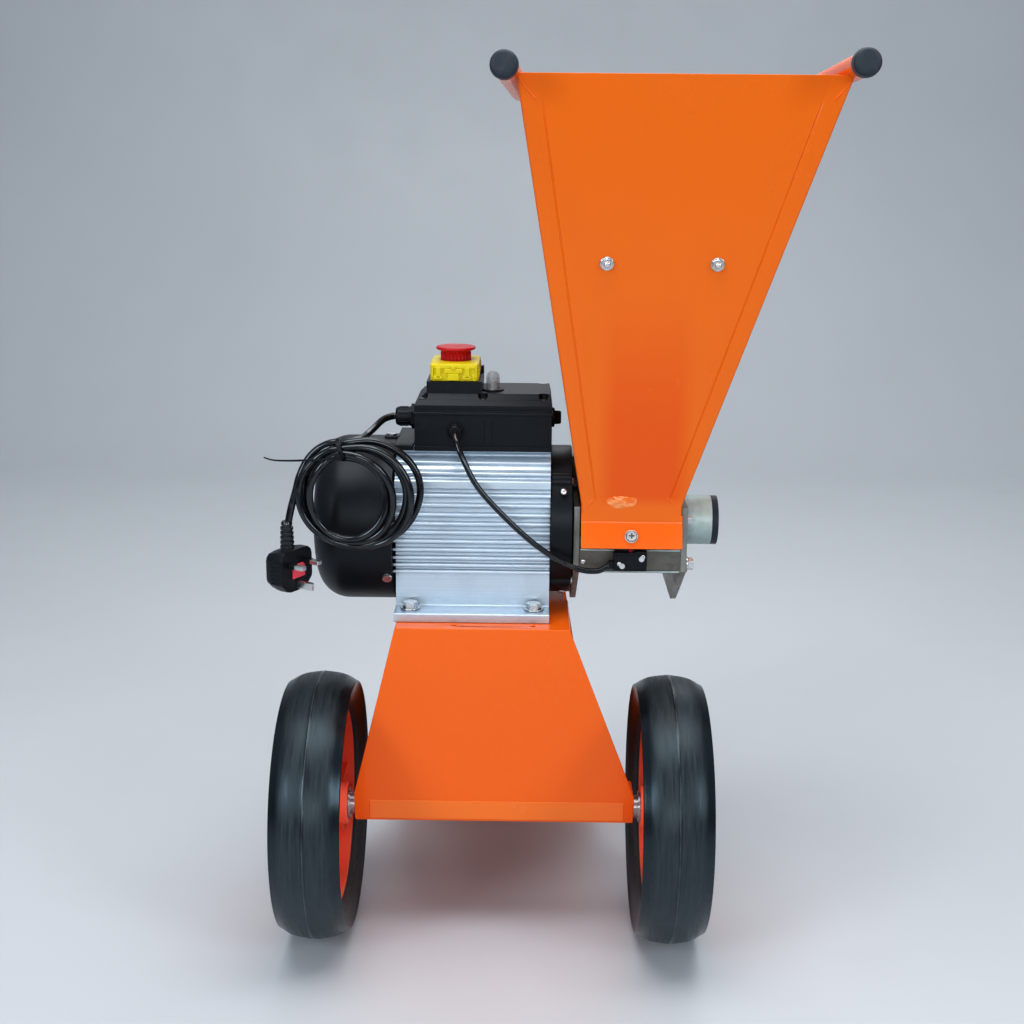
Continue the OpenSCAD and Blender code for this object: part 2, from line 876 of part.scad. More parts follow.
module stop_mushroom() {
    color([0.80, 0.07, 0.07]) from_axle() translate([switch_x, switch_y, 0]) {
        translate([0, 0, 538]) cylinder(h = 21.5, r = 14.5);
        translate([0, 0, 559]) cylinder(h = 3.5, r = 19.5);
    }
}

// The switch's own stop button, under the mushroom.
module stop_button() {
    color([0.80, 0.07, 0.07]) from_axle() translate([switch_x, switch_y, 524.5]) cylinder(h = 13.4, r = 10);
}

module start_button() {
    color([0.10, 0.55, 0.25]) from_axle() translate([switch_x, 69, 524]) cylinder(h = 9, r = 7);
}

module reset_button() {
    color([0.85, 0.85, 0.85]) from_axle() translate([-5.2, 78, 512]) cylinder(h = 16, r = 3);
}

module reset_boot() {
    color([0.80, 0.88, 0.90, 0.5]) from_axle() translate([-5.2, 78, lid_top]) difference() {
        union() {
            cylinder(h = 3, r = 9);
            cylinder(h = 13, r = 6.5);
            translate([0, 0, 13]) sphere(6.5);
        }
        translate([0, 0, -1]) cylinder(h = 14, r = 5.5);
        translate([0, 0, 13]) sphere(5.5);
    }
}

// ---- mains lead ----

coil_centre = [-129.5, -14, 440];
plug_centre = [-189, -20, 368];

mains_path = [[-92, 75, 493.7], [-104, 75, 493.7], [-121, 36, 487], [-127, 4, 486], [-128, -12, 490]];
drop_path = [[-178, -14, 430], [-187, -17, 416], [-189, -20, 392]];

module mains_cable() {
    color(black) from_axle() {
        translate(coil_centre) rotate([-90, 0, 0]) rotate_extrude() translate([36, -12]) square([21, 24]);
        lead_run(mains_path, 4.2);
        lead_run(drop_path, 4.2);
    }
}

module plug_body() {
    color(black) from_axle() translate(plug_centre) difference() {
        rotate([0, 0, 60]) translate([-22, -11, -23]) cube([44, 22, 44]);
        translate([0, 0, 10]) cylinder(h = 30, r = 4.3);
    }
}

module plug_pins() {
    color(zinc) from_axle() translate(plug_centre) rotate([0, 0, 60]) {
        translate([-2, -28, -18]) cube([4, 16.9, 8]);
        for (x = [-11, 11])
            translate([x - 3.2, -28, 6]) cube([6.4, 16.9, 4]);
    }
}

base_frame();
axle_channel();
front_foot();
axle();
axle_collars();
axle_nuts();
left_tyre();
left_hub();
right_tyre();
right_hub();
motor_housing();
stator_core();
stator_windings();
drive_end_shield();
fan_end_shield();
fan_cover();
motor_screws();
motor_foot_bolts();
bearing_outer_rings();
bearing_inner_rings();
motor_shaft();
rotor_core();
cooling_fan();
chipper_drum();
drum_knives();
knife_bolts();
side_plates();
cross_plate();
anvil_bar();
drum_casing();
housing_bolts();
bearing_tube();
tube_cap();
discharge_chute();
micro_switch();
switch_plunger();
safety_lead();
hopper();
handle_tubes();
handle_caps();
flap_hanger();
chip_flap();
clamp_bolt();
hinge_rod();
junction_box();
box_lid();
lid_screws();
capacitors();
cable_glands();
switch_body();
stop_cover();
stop_mushroom();
stop_button();
start_button();
reset_button();
reset_boot();
mains_cable();
plug_body();
plug_pins();
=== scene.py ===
"""Looks for the wood chipper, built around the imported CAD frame."""
import json
import random
from math import cos, exp, pi, radians, sin, sqrt

import bmesh
import bpy
from mathutils import Matrix, Vector


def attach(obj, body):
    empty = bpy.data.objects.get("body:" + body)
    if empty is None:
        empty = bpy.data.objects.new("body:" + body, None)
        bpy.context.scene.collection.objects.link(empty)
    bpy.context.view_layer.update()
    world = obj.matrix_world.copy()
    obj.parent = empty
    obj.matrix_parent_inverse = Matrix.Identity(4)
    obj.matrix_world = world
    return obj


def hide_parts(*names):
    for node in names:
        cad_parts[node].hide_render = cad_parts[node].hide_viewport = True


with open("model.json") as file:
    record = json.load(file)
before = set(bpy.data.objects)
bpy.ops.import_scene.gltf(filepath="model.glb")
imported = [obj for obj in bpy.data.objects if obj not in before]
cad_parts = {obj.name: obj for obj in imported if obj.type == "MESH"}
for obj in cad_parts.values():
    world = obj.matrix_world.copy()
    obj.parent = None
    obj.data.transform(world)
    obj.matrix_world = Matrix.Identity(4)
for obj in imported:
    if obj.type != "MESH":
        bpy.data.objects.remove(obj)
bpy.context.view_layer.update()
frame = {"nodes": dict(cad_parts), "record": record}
nodes = frame["nodes"]

# Sizes and places are in millimetres, and Y is measured from the axle.
MM = 0.001
AXLE_Y = -268.0                 # the axle's Y in the part's frame
TYRE_X, TYRE_R = 166.75, 127
MOTOR_Y, MOTOR_Z = 93.0, 390.0
BASE_FRONT_Y = -12
ROD_Y, ROD_Z = 10.5, 645.5      # rod that the flap in the hopper hangs on
FLAP_FALL = radians(38)
STOP_X, STOP_Y = -41.0, 90.0    # middle of the stop button
RESET_X, RESET_Y = -5.2, 78
MAINS_R, LEAD_R = 3.3, 2.7      # radii of the two cables
PLUG = (-189, -20, 368)


def at(x, y, z):
    """Millimetres from the axle line to metres in the part's frame."""
    return Vector((x * MM, (y + AXLE_Y) * MM, z * MM))


# ---------------- materials

MATS = {}


def shade(color, k, lift=0.0):
    """The colour multiplied by k and raised by lift."""
    return tuple(min(1, c * k + lift) for c in color)


class Mat:
    """A node material with a principled shader and short calls for procedural detail."""

    def __init__(self, name, color, rough, metal=0.0, **inputs):
        self.mat = MATS[name] = bpy.data.materials.new(name)
        self.mat.use_nodes = True
        self.tree = self.mat.node_tree
        self.tree.nodes.clear()
        out = self.add("OutputMaterial")
        self.bsdf = self.add("BsdfPrincipled")
        self.link(self.bsdf.outputs[0], out.inputs[0])
        self.coord = self.add("TexCoord").outputs["Object"]
        self.preset(self.bsdf, Base_Color=(*color, 1), Roughness=rough, Metallic=metal, **inputs)
        self.color = self.add("RGB").outputs[0]
        self.color.default_value = (*color, 1)
        self.rough = self.add("Value").outputs[0]
        self.rough.default_value = rough
        self.normal = None

    def add(self, kind, **props):
        node = self.tree.nodes.new("ShaderNode" + kind)
        for key, value in props.items():
            setattr(node, key, value)
        return node

    def link(self, a, b):
        self.tree.links.new(a, b)

    def preset(self, node, **inputs):
        """Sets a node's inputs by name."""
        for key, value in inputs.items():
            node.inputs[key.replace("_", " ")].default_value = value

    def feed(self, node, values):
        """Sets or links a node's inputs in order."""
        for socket, v in zip(node.inputs, values):
            if isinstance(v, (int, float)):
                socket.default_value = v
            else:
                self.link(v, socket)
        return node.outputs[0]

    def math(self, op, *values):
        return self.feed(self.add("Math", operation=op), values)

    def times(self, a, b):
        return self.math("MULTIPLY", a, b)

    def away(self, a, b):
        """Distance of a from b."""
        return self.math("ABSOLUTE", self.math("SUBTRACT", a, b))

    def ramp(self, fac, lo, hi, a=0.0, b=1.0):
        """Maps fac from lo..hi to a..b, clamped."""
        return self.feed(self.add("MapRange", clamp=True), (fac, lo, hi, a, b))

    def stretched(self, *scale):
        node = self.add("Mapping")
        self.preset(node, Scale=scale)
        self.link(self.coord, node.inputs["Vector"])
        return node.outputs[0]

    def noise(self, scale, detail=4.0, rough=0.55, vector=None, distortion=0.0):
        node = self.add("TexNoise")
        self.preset(node, Scale=scale, Detail=detail, Roughness=rough, Distortion=distortion)
        self.link(vector or self.coord, node.inputs["Vector"])
        return node.outputs["Fac"]

    def cells(self, scale):
        """Random red and green per cell."""
        node = self.add("TexVoronoi")
        self.preset(node, Scale=scale)
        self.link(self.coord, node.inputs["Vector"])
        split = self.add("SeparateColor")
        self.link(node.outputs["Color"], split.inputs[0])
        return split.outputs[:2]

    def axes(self):
        node = self.add("SeparateXYZ")
        self.link(self.coord, node.inputs[0])
        return node.outputs

    def tint(self, fac, color, amount=1):
        """Blends a colour into the base colour by fac * amount."""
        node = self.add("Mix", data_type="RGBA")
        self.link(fac if amount == 1 else self.times(fac, amount), node.inputs[0])
        self.link(self.color, node.inputs[6])
        node.inputs[7].default_value = (*color, 1)
        self.color = node.outputs[2]

    def roughen(self, fac, amount):
        """Adds fac * amount to the roughness."""
        self.rough = self.math("ADD", self.rough, self.times(fac, amount))

    def bump(self, height, distance, strength=1.0):
        node = self.add("Bump")
        self.preset(node, Distance=distance, Strength=strength)
        self.link(height, node.inputs["Height"])
        if self.normal is not None:
            self.link(self.normal, node.inputs["Normal"])
        self.normal = node.outputs[0]

    def edges(self):
        """About 1 on convex edges and 0 on flats."""
        geo = self.add("NewGeometry")
        return self.ramp(geo.outputs["Pointiness"], 0.51, 0.56)

    def corner_shade(self, distance):
        """About 1 in corners and recesses, where painted shade darkens the colour."""
        node = self.add("AmbientOcclusion", samples=4)
        self.preset(node, Distance=distance)
        return self.ramp(node.outputs["AO"], 0.35, 0.9, 1.0, 0.0)

    def done(self):
        self.link(self.color, self.bsdf.inputs["Base Color"])
        self.link(self.rough, self.bsdf.inputs["Roughness"])
        if self.normal is not None:
            self.link(self.normal, self.bsdf.inputs["Normal"])


def paint(name, color, shaded_throat=False):
    """Glossy powder coat: fine orange peel, slow sheet waviness, a painted highlight on convex edges and
    painted shade in corners.
    """
    m = Mat(name, color, 0.22, Coat_Weight=0.18, Coat_Roughness=0.09, Specular_IOR_Level=0.24)
    if shaded_throat:
        # Painted shade: the colour is deeper down the middle of the hopper's narrow end.
        x, _, z = m.axes()
        middle = m.ramp(m.away(x, 0.136), 0.028, 0.044, 1.0, 0.0)
        deep = m.times(m.ramp(z, 0.50, 0.62, 1.0, 0.0), m.ramp(z, 0.420, 0.430))
        m.tint(m.times(deep, middle), (color[0] * 0.95, color[1] * 0.64, color[2] * 0.3))
    m.tint(m.ramp(m.noise(6, 2), 0.3, 0.75, 0.0, 0.16), shade(color, 0.80))
    # Painted highlight: convex edges are lighter.
    m.tint(m.edges(), shade(color, 1.2, 0.03), 0.20)
    # Painted shade: corners and recesses are darker.
    m.tint(m.corner_shade(0.03), shade(color, 0.35), 0.10)
    m.roughen(m.ramp(m.noise(12, 4, 0.6), 0.3, 0.8), 0.08)
    m.bump(m.noise(9, 2), 0.0016, 0.3)
    m.bump(m.noise(520, 2, 0.5), 0.00005, 0.45)
    m.done()


def plastic(name, color, rough=0.4, grain=0.00005, grain_scale=1900, dust=0.06):
    """Moulded plastic with a fine spark-eroded grain and a little dust."""
    m = Mat(name, color, rough, Specular_IOR_Level=0.26, Specular_Tint=(0.84, 0.93, 1.0, 1.0))
    m.tint(m.ramp(m.noise(30, 4), 0.45, 0.75, 0.0, 0.35), shade(color, 1.35, 0.004))
    dusty = m.ramp(m.noise(220, 6, 0.75), 0.55, 0.85)
    m.tint(dusty, (0.45, 0.42, 0.38), dust)
    m.roughen(dusty, 0.18)
    m.bump(m.noise(grain_scale, 3, 0.6), grain, 0.6)
    m.done()


def rubber(name, color, rough, sheen, shine):
    m = Mat(name, color, rough, Specular_IOR_Level=shine, Sheen_Weight=sheen, Sheen_Roughness=0.4,
            Specular_Tint=(0.84, 0.93, 1.0, 1.0))
    marks = m.ramp(m.noise(70, 6, 0.7, distortion=0.6), 0.52, 0.8)
    m.tint(marks, (0.22, 0.22, 0.22), 0.16)
    m.roughen(marks, 0.16)
    m.bump(m.noise(900, 3), 0.00006, 0.5)
    m.done()


def tyre_rubber():
    """Black rubber with a dulled band either side of the mould seam."""
    m = Mat("tyre_rubber", (0.0062, 0.0085, 0.0110), 0.23, Specular_IOR_Level=0.46,
            Specular_Tint=(0.66, 0.88, 1.0, 1.0))
    x, _, z = m.axes()
    across = m.away(m.math("ABSOLUTE", x), TYRE_X * MM)
    band = m.times(m.ramp(across, 0.0008, 0.002), m.ramp(across, 0.020, 0.026, 1.0, 0.0))
    streaks = m.ramp(m.noise(1.0, 6, 0.7, m.stretched(420, 26, 26)), 0.38, 0.72, 0.25, 1.0)
    worn = m.times(band, streaks)
    m.tint(worn, (0.12, 0.135, 0.14), 0.22)
    m.roughen(worn, 0.34)
    # Painted highlight: a thin light line along the mould seam.
    seam = m.times(m.ramp(across, 0.0004, 0.0009, 1.0, 0.0), m.ramp(m.noise(40, 4), 0.3, 0.6))
    m.tint(seam, (0.30, 0.32, 0.33), 0.16)
    # Painted reflection of the pale floor, with dust: blue-grey patches low on the tyre.
    patches = m.ramp(m.noise(70, 7, 0.8, distortion=0.8), 0.3, 0.75, 0.35, 1.0)
    m.tint(m.times(m.ramp(z, 0.02, 0.17, 1.0, 0.0), patches), (0.26, 0.36, 0.39), 0.12)
    m.tint(m.ramp(m.noise(34, 7, 0.75, distortion=1.2), 0.60, 0.82), (0.25, 0.25, 0.25), 0.07)
    m.tint(m.ramp(z, 0.0, 0.05, 1.0, 0.0), (0.4, 0.38, 0.34), 0.05)
    m.bump(m.noise(1.0, 4, 0.6, m.stretched(900, 60, 60)), 0.0001, 0.5)
    m.bump(m.noise(750, 3), 0.00006, 0.5)
    m.done()


def metal(name, color, rough, streak, streak_scale=300, streak_bump=0.00004, blotch=0.12, stain=None,
          solid=1.0):
    """Bare metal: directional finish, blotches in roughness, optional stain colour, painted shade in corners.
    """
    m = Mat(name, color, rough, solid)
    lines = m.noise(streak_scale, 5, 0.6, m.stretched(*streak))
    m.tint(m.ramp(lines, 0.3, 0.75, 0.0, 0.35), shade(color, 0.72))
    m.roughen(m.ramp(m.noise(26, 5, 0.65), 0.4, 0.7), blotch)
    m.roughen(m.ramp(lines, 0.3, 0.7), 0.10)
    if stain:
        m.tint(m.ramp(m.noise(18, 6, 0.7, distortion=0.8), 0.5, 0.75), stain, 0.45)
    # Painted shade: corners and recesses are darker.
    m.tint(m.corner_shade(0.012), shade(color, 0.22), 0.45)
    m.bump(lines, streak_bump, 0.6)
    m.done()


def zinc_sheet(name, color, rough):
    """Dull zinc plate: soft spangle, yellowish passivation, rolled grain and painted shade in corners."""
    m = Mat(name, color, rough, 1.0)
    spangle, patches = m.cells(170)
    m.tint(spangle, shade(color, 1.35), 0.22)
    m.tint(m.ramp(m.noise(22, 5, 0.7, distortion=0.7), 0.45, 0.7, 0.0, 0.45),
           (color[0] * 0.88, color[1] * 0.82, color[2] * 0.66))
    # Painted shade: corners and recesses are darker.
    m.tint(m.corner_shade(0.02), (0.10, 0.09, 0.08), 0.5)
    m.roughen(patches, 0.16)
    m.roughen(m.ramp(m.noise(60, 6), 0.4, 0.7), 0.12)
    m.bump(m.noise(260, 5, 0.7), 0.00008, 0.5)
    m.done()


def weld_paint_with_glint():
    """Paint over a ground weld: smooth, with pale streaks that are a painted highlight."""
    m = Mat("weld_paint_with_glint", (0.83, 0.16, 0.01), 0.15, Coat_Weight=0.4, Coat_Roughness=0.06)
    # Painted highlight: pale streaks across the weld.
    worn = m.ramp(m.noise(1.0, 5, 0.7, m.stretched(90, 60, 160)), 0.44, 0.62)
    m.tint(worn, (0.96, 0.50, 0.20), 0.62)
    m.roughen(worn, 0.10)
    m.bump(m.noise(150, 4), 0.0004, 0.5)
    m.done()


def clear_boot():
    m = Mat("clear_boot", (0.34, 0.37, 0.39), 0.12, Alpha=0.26, Specular_IOR_Level=0.8)
    m.roughen(m.ramp(m.noise(160, 4), 0.4, 0.7), 0.15)
    m.bump(m.noise(240, 3), 0.0002, 0.4)
    m.done()


def backdrop():
    color = (0.53, 0.555, 0.58)
    m = Mat("studio_floor", color, 0.42)
    m.tint(m.ramp(m.noise(2.2, 5), 0.35, 0.7, 0.0, 0.5), shade(color, 0.94))
    m.roughen(m.ramp(m.noise(9, 5), 0.4, 0.7), 0.12)
    m.bump(m.noise(160, 4), 0.0002, 0.3)
    m.done()


paint("orange_paint", (0.86, 0.138, 0.005))
paint("hopper_paint", (0.80, 0.156, 0.0075), shaded_throat=True)
# Lighter orange for the base hem, as a painted reflection of the lit floor.
paint("hem_reflection_paint", (0.95, 0.205, 0.026))
weld_paint_with_glint()
plastic("black_paint", (0.006, 0.0068, 0.0085), 0.38, 0.00016, 900, 0.03)
metal("bright_steel", (0.62, 0.62, 0.63), 0.24, (1, 60, 60))
metal("zinc_plate", (0.72, 0.73, 0.74), 0.2, (30, 30, 30), 40, 0.00002, 0.14, (0.55, 0.53, 0.44))
zinc_sheet("zinc_sheet", (0.53, 0.63, 0.63), 0.50)
# Darker copies of zinc sheet, as painted shade on the cross plate and side plates below the hopper.
zinc_sheet("shaded_zinc_sheet", (0.17, 0.165, 0.15), 0.42)
zinc_sheet("shaded_side_zinc", (0.30, 0.305, 0.285), 0.40)
metal("dark_steel", (0.16, 0.155, 0.15), 0.34, (1, 40, 40))
tyre_rubber()
plastic("red_plastic", (0.46, 0.010, 0.014), 0.34, 0.00006, 900, 0.02)
metal("ribbed_aluminium", (0.64, 0.745, 0.84), 0.34, (0.6, 200, 200), 6, 0.00004, 0.12,
      (0.46, 0.52, 0.60), solid=0.82)
metal("lamination_steel", (0.30, 0.30, 0.31), 0.4, (900, 1, 1), 2)
metal("copper_winding", (0.55, 0.20, 0.07), 0.34, (1, 200, 200), 5)
plastic("black_plastic", (0.0072, 0.0082, 0.0105), dust=0.03)
rubber("soft_rubber", (0.020, 0.027, 0.038), 0.5, 0.15, 0.4)
rubber("cable_rubber", (0.0048, 0.0052, 0.0062), 0.15, 0.0, 0.7)
plastic("white_plastic", (0.66, 0.66, 0.62))
plastic("yellow_plastic", (0.68, 0.56, 0.012), 0.34, 0.00004, 1500, 0.02)
plastic("green_plastic", (0.02, 0.26, 0.06), 0.34)
clear_boot()
plastic("hub_plastic", (1.0, 0.165, 0.085), 0.42, 0.00006, 700, 0.05)
plastic("fuse_plastic", (0.72, 0.075, 0.10))
backdrop()


# ---------------- CAD nodes

def round_edges(obj, width, segments, angle):
    """Bevels edges sharper than angle (degrees) by width (mm) and evens out the shading."""
    mod = obj.modifiers.new("edges", "BEVEL")
    mod.width = width * MM
    mod.segments = segments
    mod.limit_method = "ANGLE"
    mod.angle_limit = radians(angle)
    mod.harden_normals = True
    obj.modifiers.new("shade", "WEIGHTED_NORMAL")


def dress_cad_nodes():
    """Gives each CAD node its slot's material, welded normals and small edge radii."""
    slots = {s["node"]: s["material_slot"] for s in frame["record"]["subparts"]}
    # The cross plate and side plates take darker zinc as painted shade.
    special = {"left_hub": "hub_plastic", "right_hub": "hub_plastic", "lid_screws": "dark_steel",
               "cross_plate": "shaded_zinc_sheet", "side_plates": "shaded_side_zinc"}
    radius = {0.8: "base_frame front_foot axle_channel junction_box box_lid drive_end_shield",
              0.7: "left_hub right_hub", 0.6: "fan_end_shield switch_body", 1.4: "tube_cap",
              0.5: "fan_cover side_plates discharge_chute", 0.4: "bearing_tube", 0.3: "cross_plate"}
    radius = {name: width for width, names in radius.items() for name in names.split()}
    for name, obj in nodes.items():
        mesh = obj.data
        mesh.materials.clear()
        mesh.materials.append(MATS[special.get(name, slots[name])])
        if "custom_normal" in mesh.attributes:
            mesh.attributes.remove(mesh.attributes["custom_normal"])
        for poly in mesh.polygons:
            poly.use_smooth = True
        weld = obj.modifiers.new("weld", "WELD")
        weld.merge_threshold = 0.00001
        round_edges(obj, radius.get(name, 0.25), 2, 38)


# ---------------- mesh helpers

def mesh_object(name, bm):
    bmesh.ops.recalc_face_normals(bm, faces=bm.faces)
    for face in bm.faces:
        face.smooth = True
    mesh = bpy.data.meshes.new(name)
    bm.to_mesh(mesh)
    bm.free()
    obj = bpy.data.objects.new(name, mesh)
    bpy.context.scene.collection.objects.link(obj)
    return obj


def piece(name, bm, slot, replaces=None, bevel=0.0, segments=2, body="frame", look=None):
    """A named piece that rides on a body, in its slot's material unless a look is given."""
    obj = mesh_object(name, bm)
    obj.data.materials.append(MATS[look or slot])
    if bevel:
        round_edges(obj, bevel, segments, 32)
    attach(obj, body)
    if replaces:
        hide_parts(replaces)


def arc(cx, cy, r, degrees):
    """Points on a circle at the given angles."""
    return [(cx + r * cos(a), cy + r * sin(a)) for a in map(radians, degrees)]


def frame_of(origin, axis):
    """A matrix whose local Z runs along axis from origin (millimetres from the axle)."""
    z = Vector(axis).normalized()
    ref = Vector((0, 0, 1))
    if abs(z.dot(ref)) > 0.99:
        ref = Vector((1, 0, 0))
    x = ref.cross(z).normalized()
    y = z.cross(x)
    m = Matrix((x, y, z)).transposed().to_4x4()
    m.translation = at(*origin) * 1000
    return Matrix.Scale(MM, 4) @ m


def along_x(x, y, z, turn=0.0):
    """A matrix for outlines drawn in Y and Z: local Z runs along X, turned about X."""
    return (Matrix.Translation(at(x, y, z)) @ Matrix.Rotation(turn, 4, "X") @ Matrix.Scale(MM, 4)
            @ Matrix(((0, 0, 1, 0), (1, 0, 0, 0), (0, 1, 0, 0), (0, 0, 0, 1))))


def add_band(bm, low, top):
    """Quads between two closed rings of corners."""
    for i in range(len(low)):
        j = (i + 1) % len(low)
        bm.faces.new((low[i], low[j], top[j], top[i]))


def fill_between(bm, *rings):
    """Fills the flat area inside the first ring and outside the others."""
    pairs = [pair for ring in rings for pair in zip(ring, ring[1:] + ring[:1])]
    edges = [bm.edges.get(pair) or bm.edges.new(pair) for pair in pairs]
    bmesh.ops.triangle_fill(bm, edges=edges, use_beauty=True)


def add_lathe(bm, profile, matrix, segments=96, closed=False):
    """Turns (radius, height) points round local Z. A radius of 0 makes a pole."""
    rings = []
    for r, h in profile:
        if r < 1e-6:
            rings.append([bm.verts.new(matrix @ Vector((0, 0, h)))])
        else:
            rings.append([bm.verts.new(matrix @ Vector((r * cos(t), r * sin(t), h)))
                          for t in (2 * pi * i / segments for i in range(segments))])
    pairs = list(zip(rings, rings[1:])) + ([(rings[-1], rings[0])] if closed else [])
    for a, b in pairs:
        for i in range(segments):
            j = (i + 1) % segments
            quad = [a[i % len(a)], a[j % len(a)], b[j % len(b)], b[i % len(b)]]
            quad = [v for k, v in enumerate(quad) if v not in quad[:k]]
            if len(quad) > 2:
                bm.faces.new(quad)


def add_prism(bm, outline, height, matrix):
    """A closed prism of an outline in local X and Y, of a height along local Z."""
    low, top = ([bm.verts.new(matrix @ Vector((x, y, h))) for x, y in outline] for h in (0, height))
    bm.faces.new(low[::-1])
    bm.faces.new(top)
    add_band(bm, low, top)


def add_box(bm, lo, hi, matrix=None):
    """A box between two corners, in millimetres from the axle unless a matrix is given."""
    corners = []
    for k in range(8):
        p = Vector((hi[0] if k & 1 else lo[0], hi[1] if k & 2 else lo[1], hi[2] if k & 4 else lo[2]))
        corners.append(bm.verts.new(matrix @ p if matrix else at(*p)))
    for f in ((0, 2, 3, 1), (4, 5, 7, 6), (0, 1, 5, 4), (2, 6, 7, 3), (0, 4, 6, 2), (1, 3, 7, 5)):
        bm.faces.new([corners[i] for i in f])


def box_piece(name, boxes, *args, **finish):
    """A piece made of boxes only."""
    bm = bmesh.new()
    for lo, hi in boxes:
        add_box(bm, lo, hi)
    piece(name, bm, *args, **finish)


def rounded_rect(w, h, r, steps=5):
    """Outline of a w by h rectangle with corner radius r, centred on zero."""
    pts = []
    for cx, cy, start in ((w / 2 - r, h / 2 - r, 0), (r - w / 2, h / 2 - r, 90),
                          (r - w / 2, r - h / 2, 180), (w / 2 - r, r - h / 2, 270)):
        pts += arc(cx, cy, r, [start + 90 * i / steps for i in range(steps + 1)])
    return pts


def hexagon(flat):
    return arc(0, 0, flat / 2 / cos(pi / 6), range(30, 390, 60))


def add_hex_bolt(bm, origin, axis, flat, head, washer, washer_t, shank=0):
    """Washer, chamfered hex head and an optional shank; axis points out of the head."""
    m = frame_of(origin, axis)
    add_lathe(bm, [(0, 0), (washer / 2 - 0.4, 0), (washer / 2, 0.3), (washer / 2, washer_t - 0.3),
                   (washer / 2 - 0.4, washer_t), (0, washer_t)], m, 40)
    low, mid, top = [], [], []
    for a in range(0, 360, 15):
        corner = flat / 2 / cos(radians(abs((a + 30) % 60 - 30)))
        rim = min(corner, flat / 2 + 0.15)
        for ring, r, h in ((low, corner, 0), (mid, corner, head - (corner - flat / 2) * 0.6),
                           (top, rim - 0.7, head)):
            x, y = arc(0, 0, r, [a])[0]
            ring.append(bm.verts.new(m @ Vector((x, y, washer_t + h))))
    add_band(bm, low, mid)
    add_band(bm, mid, top)
    bm.faces.new(top)
    bm.faces.new(low[::-1])
    if shank:
        add_lathe(bm, [(0, 0.2), (4, 0.2), (4, -shank + 0.6), (3.4, -shank), (0, -shank)], m, 32)


def add_pan_screw(bm, origin, axis, r, h):
    """A domed screw head with a cross recess."""
    profile = [(0, 0), (r, 0), (r, h * 0.35)] + [
        (r * cos(radians(a)), h * (0.35 + 0.65 * sin(radians(a)))) for a in (25, 50, 72)]
    profile += [(r * 0.22, h * 0.98), (r * 0.1, h * 0.45), (0, h * 0.4)]
    add_lathe(bm, profile, frame_of(origin, axis), 28)


def smooth_path(points, steps=8):
    """Catmull-Rom points through the given ones."""
    pts = [Vector(p) for p in points]
    pts = [pts[0] * 2 - pts[1]] + pts + [pts[-1] * 2 - pts[-2]]
    out = []
    for i in range(1, len(pts) - 2):
        a, b, c, d = pts[i - 1:i + 3]
        for s in range(steps):
            t = s / steps
            out.append(0.5 * ((2 * b) + (c - a) * t + (2 * a - 5 * b + 4 * c - d) * t * t
                              + (3 * b - a - 3 * c + d) * t * t * t))
    out.append(pts[-2])
    return out


def add_sweep(bm, points, radius, segments=16):
    """A round tube along points in millimetres from the axle. radius may be a list."""
    pts = [at(*p) for p in points]
    radii = radius if isinstance(radius, (list, tuple)) else [radius] * len(pts)
    side = None
    rings = []
    for i, p in enumerate(pts):
        d = (pts[min(i + 1, len(pts) - 1)] - pts[max(i - 1, 0)]).normalized()
        if side is None:
            side = d.orthogonal().normalized()
        side = (side - d * side.dot(d)).normalized()
        up = d.cross(side)
        r = radii[i] * MM
        rings.append([bm.verts.new(p + side * (r * cos(t)) + up * (r * sin(t)))
                      for t in (2 * pi * k / segments for k in range(segments))])
    for a, b in zip(rings, rings[1:]):
        add_band(bm, a, b)
    bm.faces.new(rings[0][::-1])
    bm.faces.new(rings[-1])


def add_plate(bm, loops, thickness, matrix):
    """A flat plate with holes: the first loop is its outline, the rest are holes."""
    rings = [[[bm.verts.new(matrix @ Vector((x, y, h))) for x, y in loop] for loop in loops]
             for h in (0, thickness)]
    for level in rings:
        fill_between(bm, *level)
    for low, top in zip(*rings):
        add_band(bm, low, top)


def add_grid(bm, rows, close_u=False, close_v=False):
    """Quads between rows of points that are already in metres."""
    verts = [[bm.verts.new(p) for p in row] for row in rows]
    nu, nv = len(verts), len(verts[0])
    for i in range(nu if close_u else nu - 1):
        for j in range(nv if close_v else nv - 1):
            bm.faces.new((verts[i][j], verts[(i + 1) % nu][j],
                          verts[(i + 1) % nu][(j + 1) % nv], verts[i][(j + 1) % nv]))
    return verts


def add_bar(bm, rows):
    """A closed bar through rows of corners."""
    verts = add_grid(bm, rows, close_v=True)
    bm.faces.new(verts[0])
    bm.faces.new(verts[-1][::-1])


def add_skin(bm, rows):
    """A closed skin whose rows run out along one face and back along the other."""
    verts = add_grid(bm, rows, close_v=True)
    for row in (verts[0], verts[-1]):
        last = len(row) - 1
        for j in range(len(row) // 2 - 1):
            bm.faces.new((row[j], row[j + 1], row[last - 1 - j], row[last - j]))


# ---------------- wheels

def build_tyres():
    """Solid tyres: (radius, half width) of the profile from the tread to the bore."""
    half = [(126.95, 0.0), (126.9, 0.35), (126.72, 0.9), (126.4, 5), (125.7, 11), (124.6, 17), (122.9, 22),
            (120.9, 26), (118.9, 29.2), (118.0, 31), (117.6, 31.8), (116.9, 32.0), (116.3, 31.6),
            (115.4, 30.8), (111, 28.9), (104, 25.6), (97, 22.4), (94.6, 20.9), (94.0, 19.8), (94.0, 8)]
    profile = [(r, -w) for r, w in half[::-1]] + half[1:]
    for side, name in ((-1, "left"), (1, "right")):
        bm = bmesh.new()
        add_lathe(bm, profile, frame_of((side * TYRE_X, 0, TYRE_R), (1, 0, 0)), 160, closed=True)
        piece(f"{name}_solid_tyre", bm, "tyre_rubber", f"{name}_tyre", body=f"{name}_wheel")


# ---------------- motor

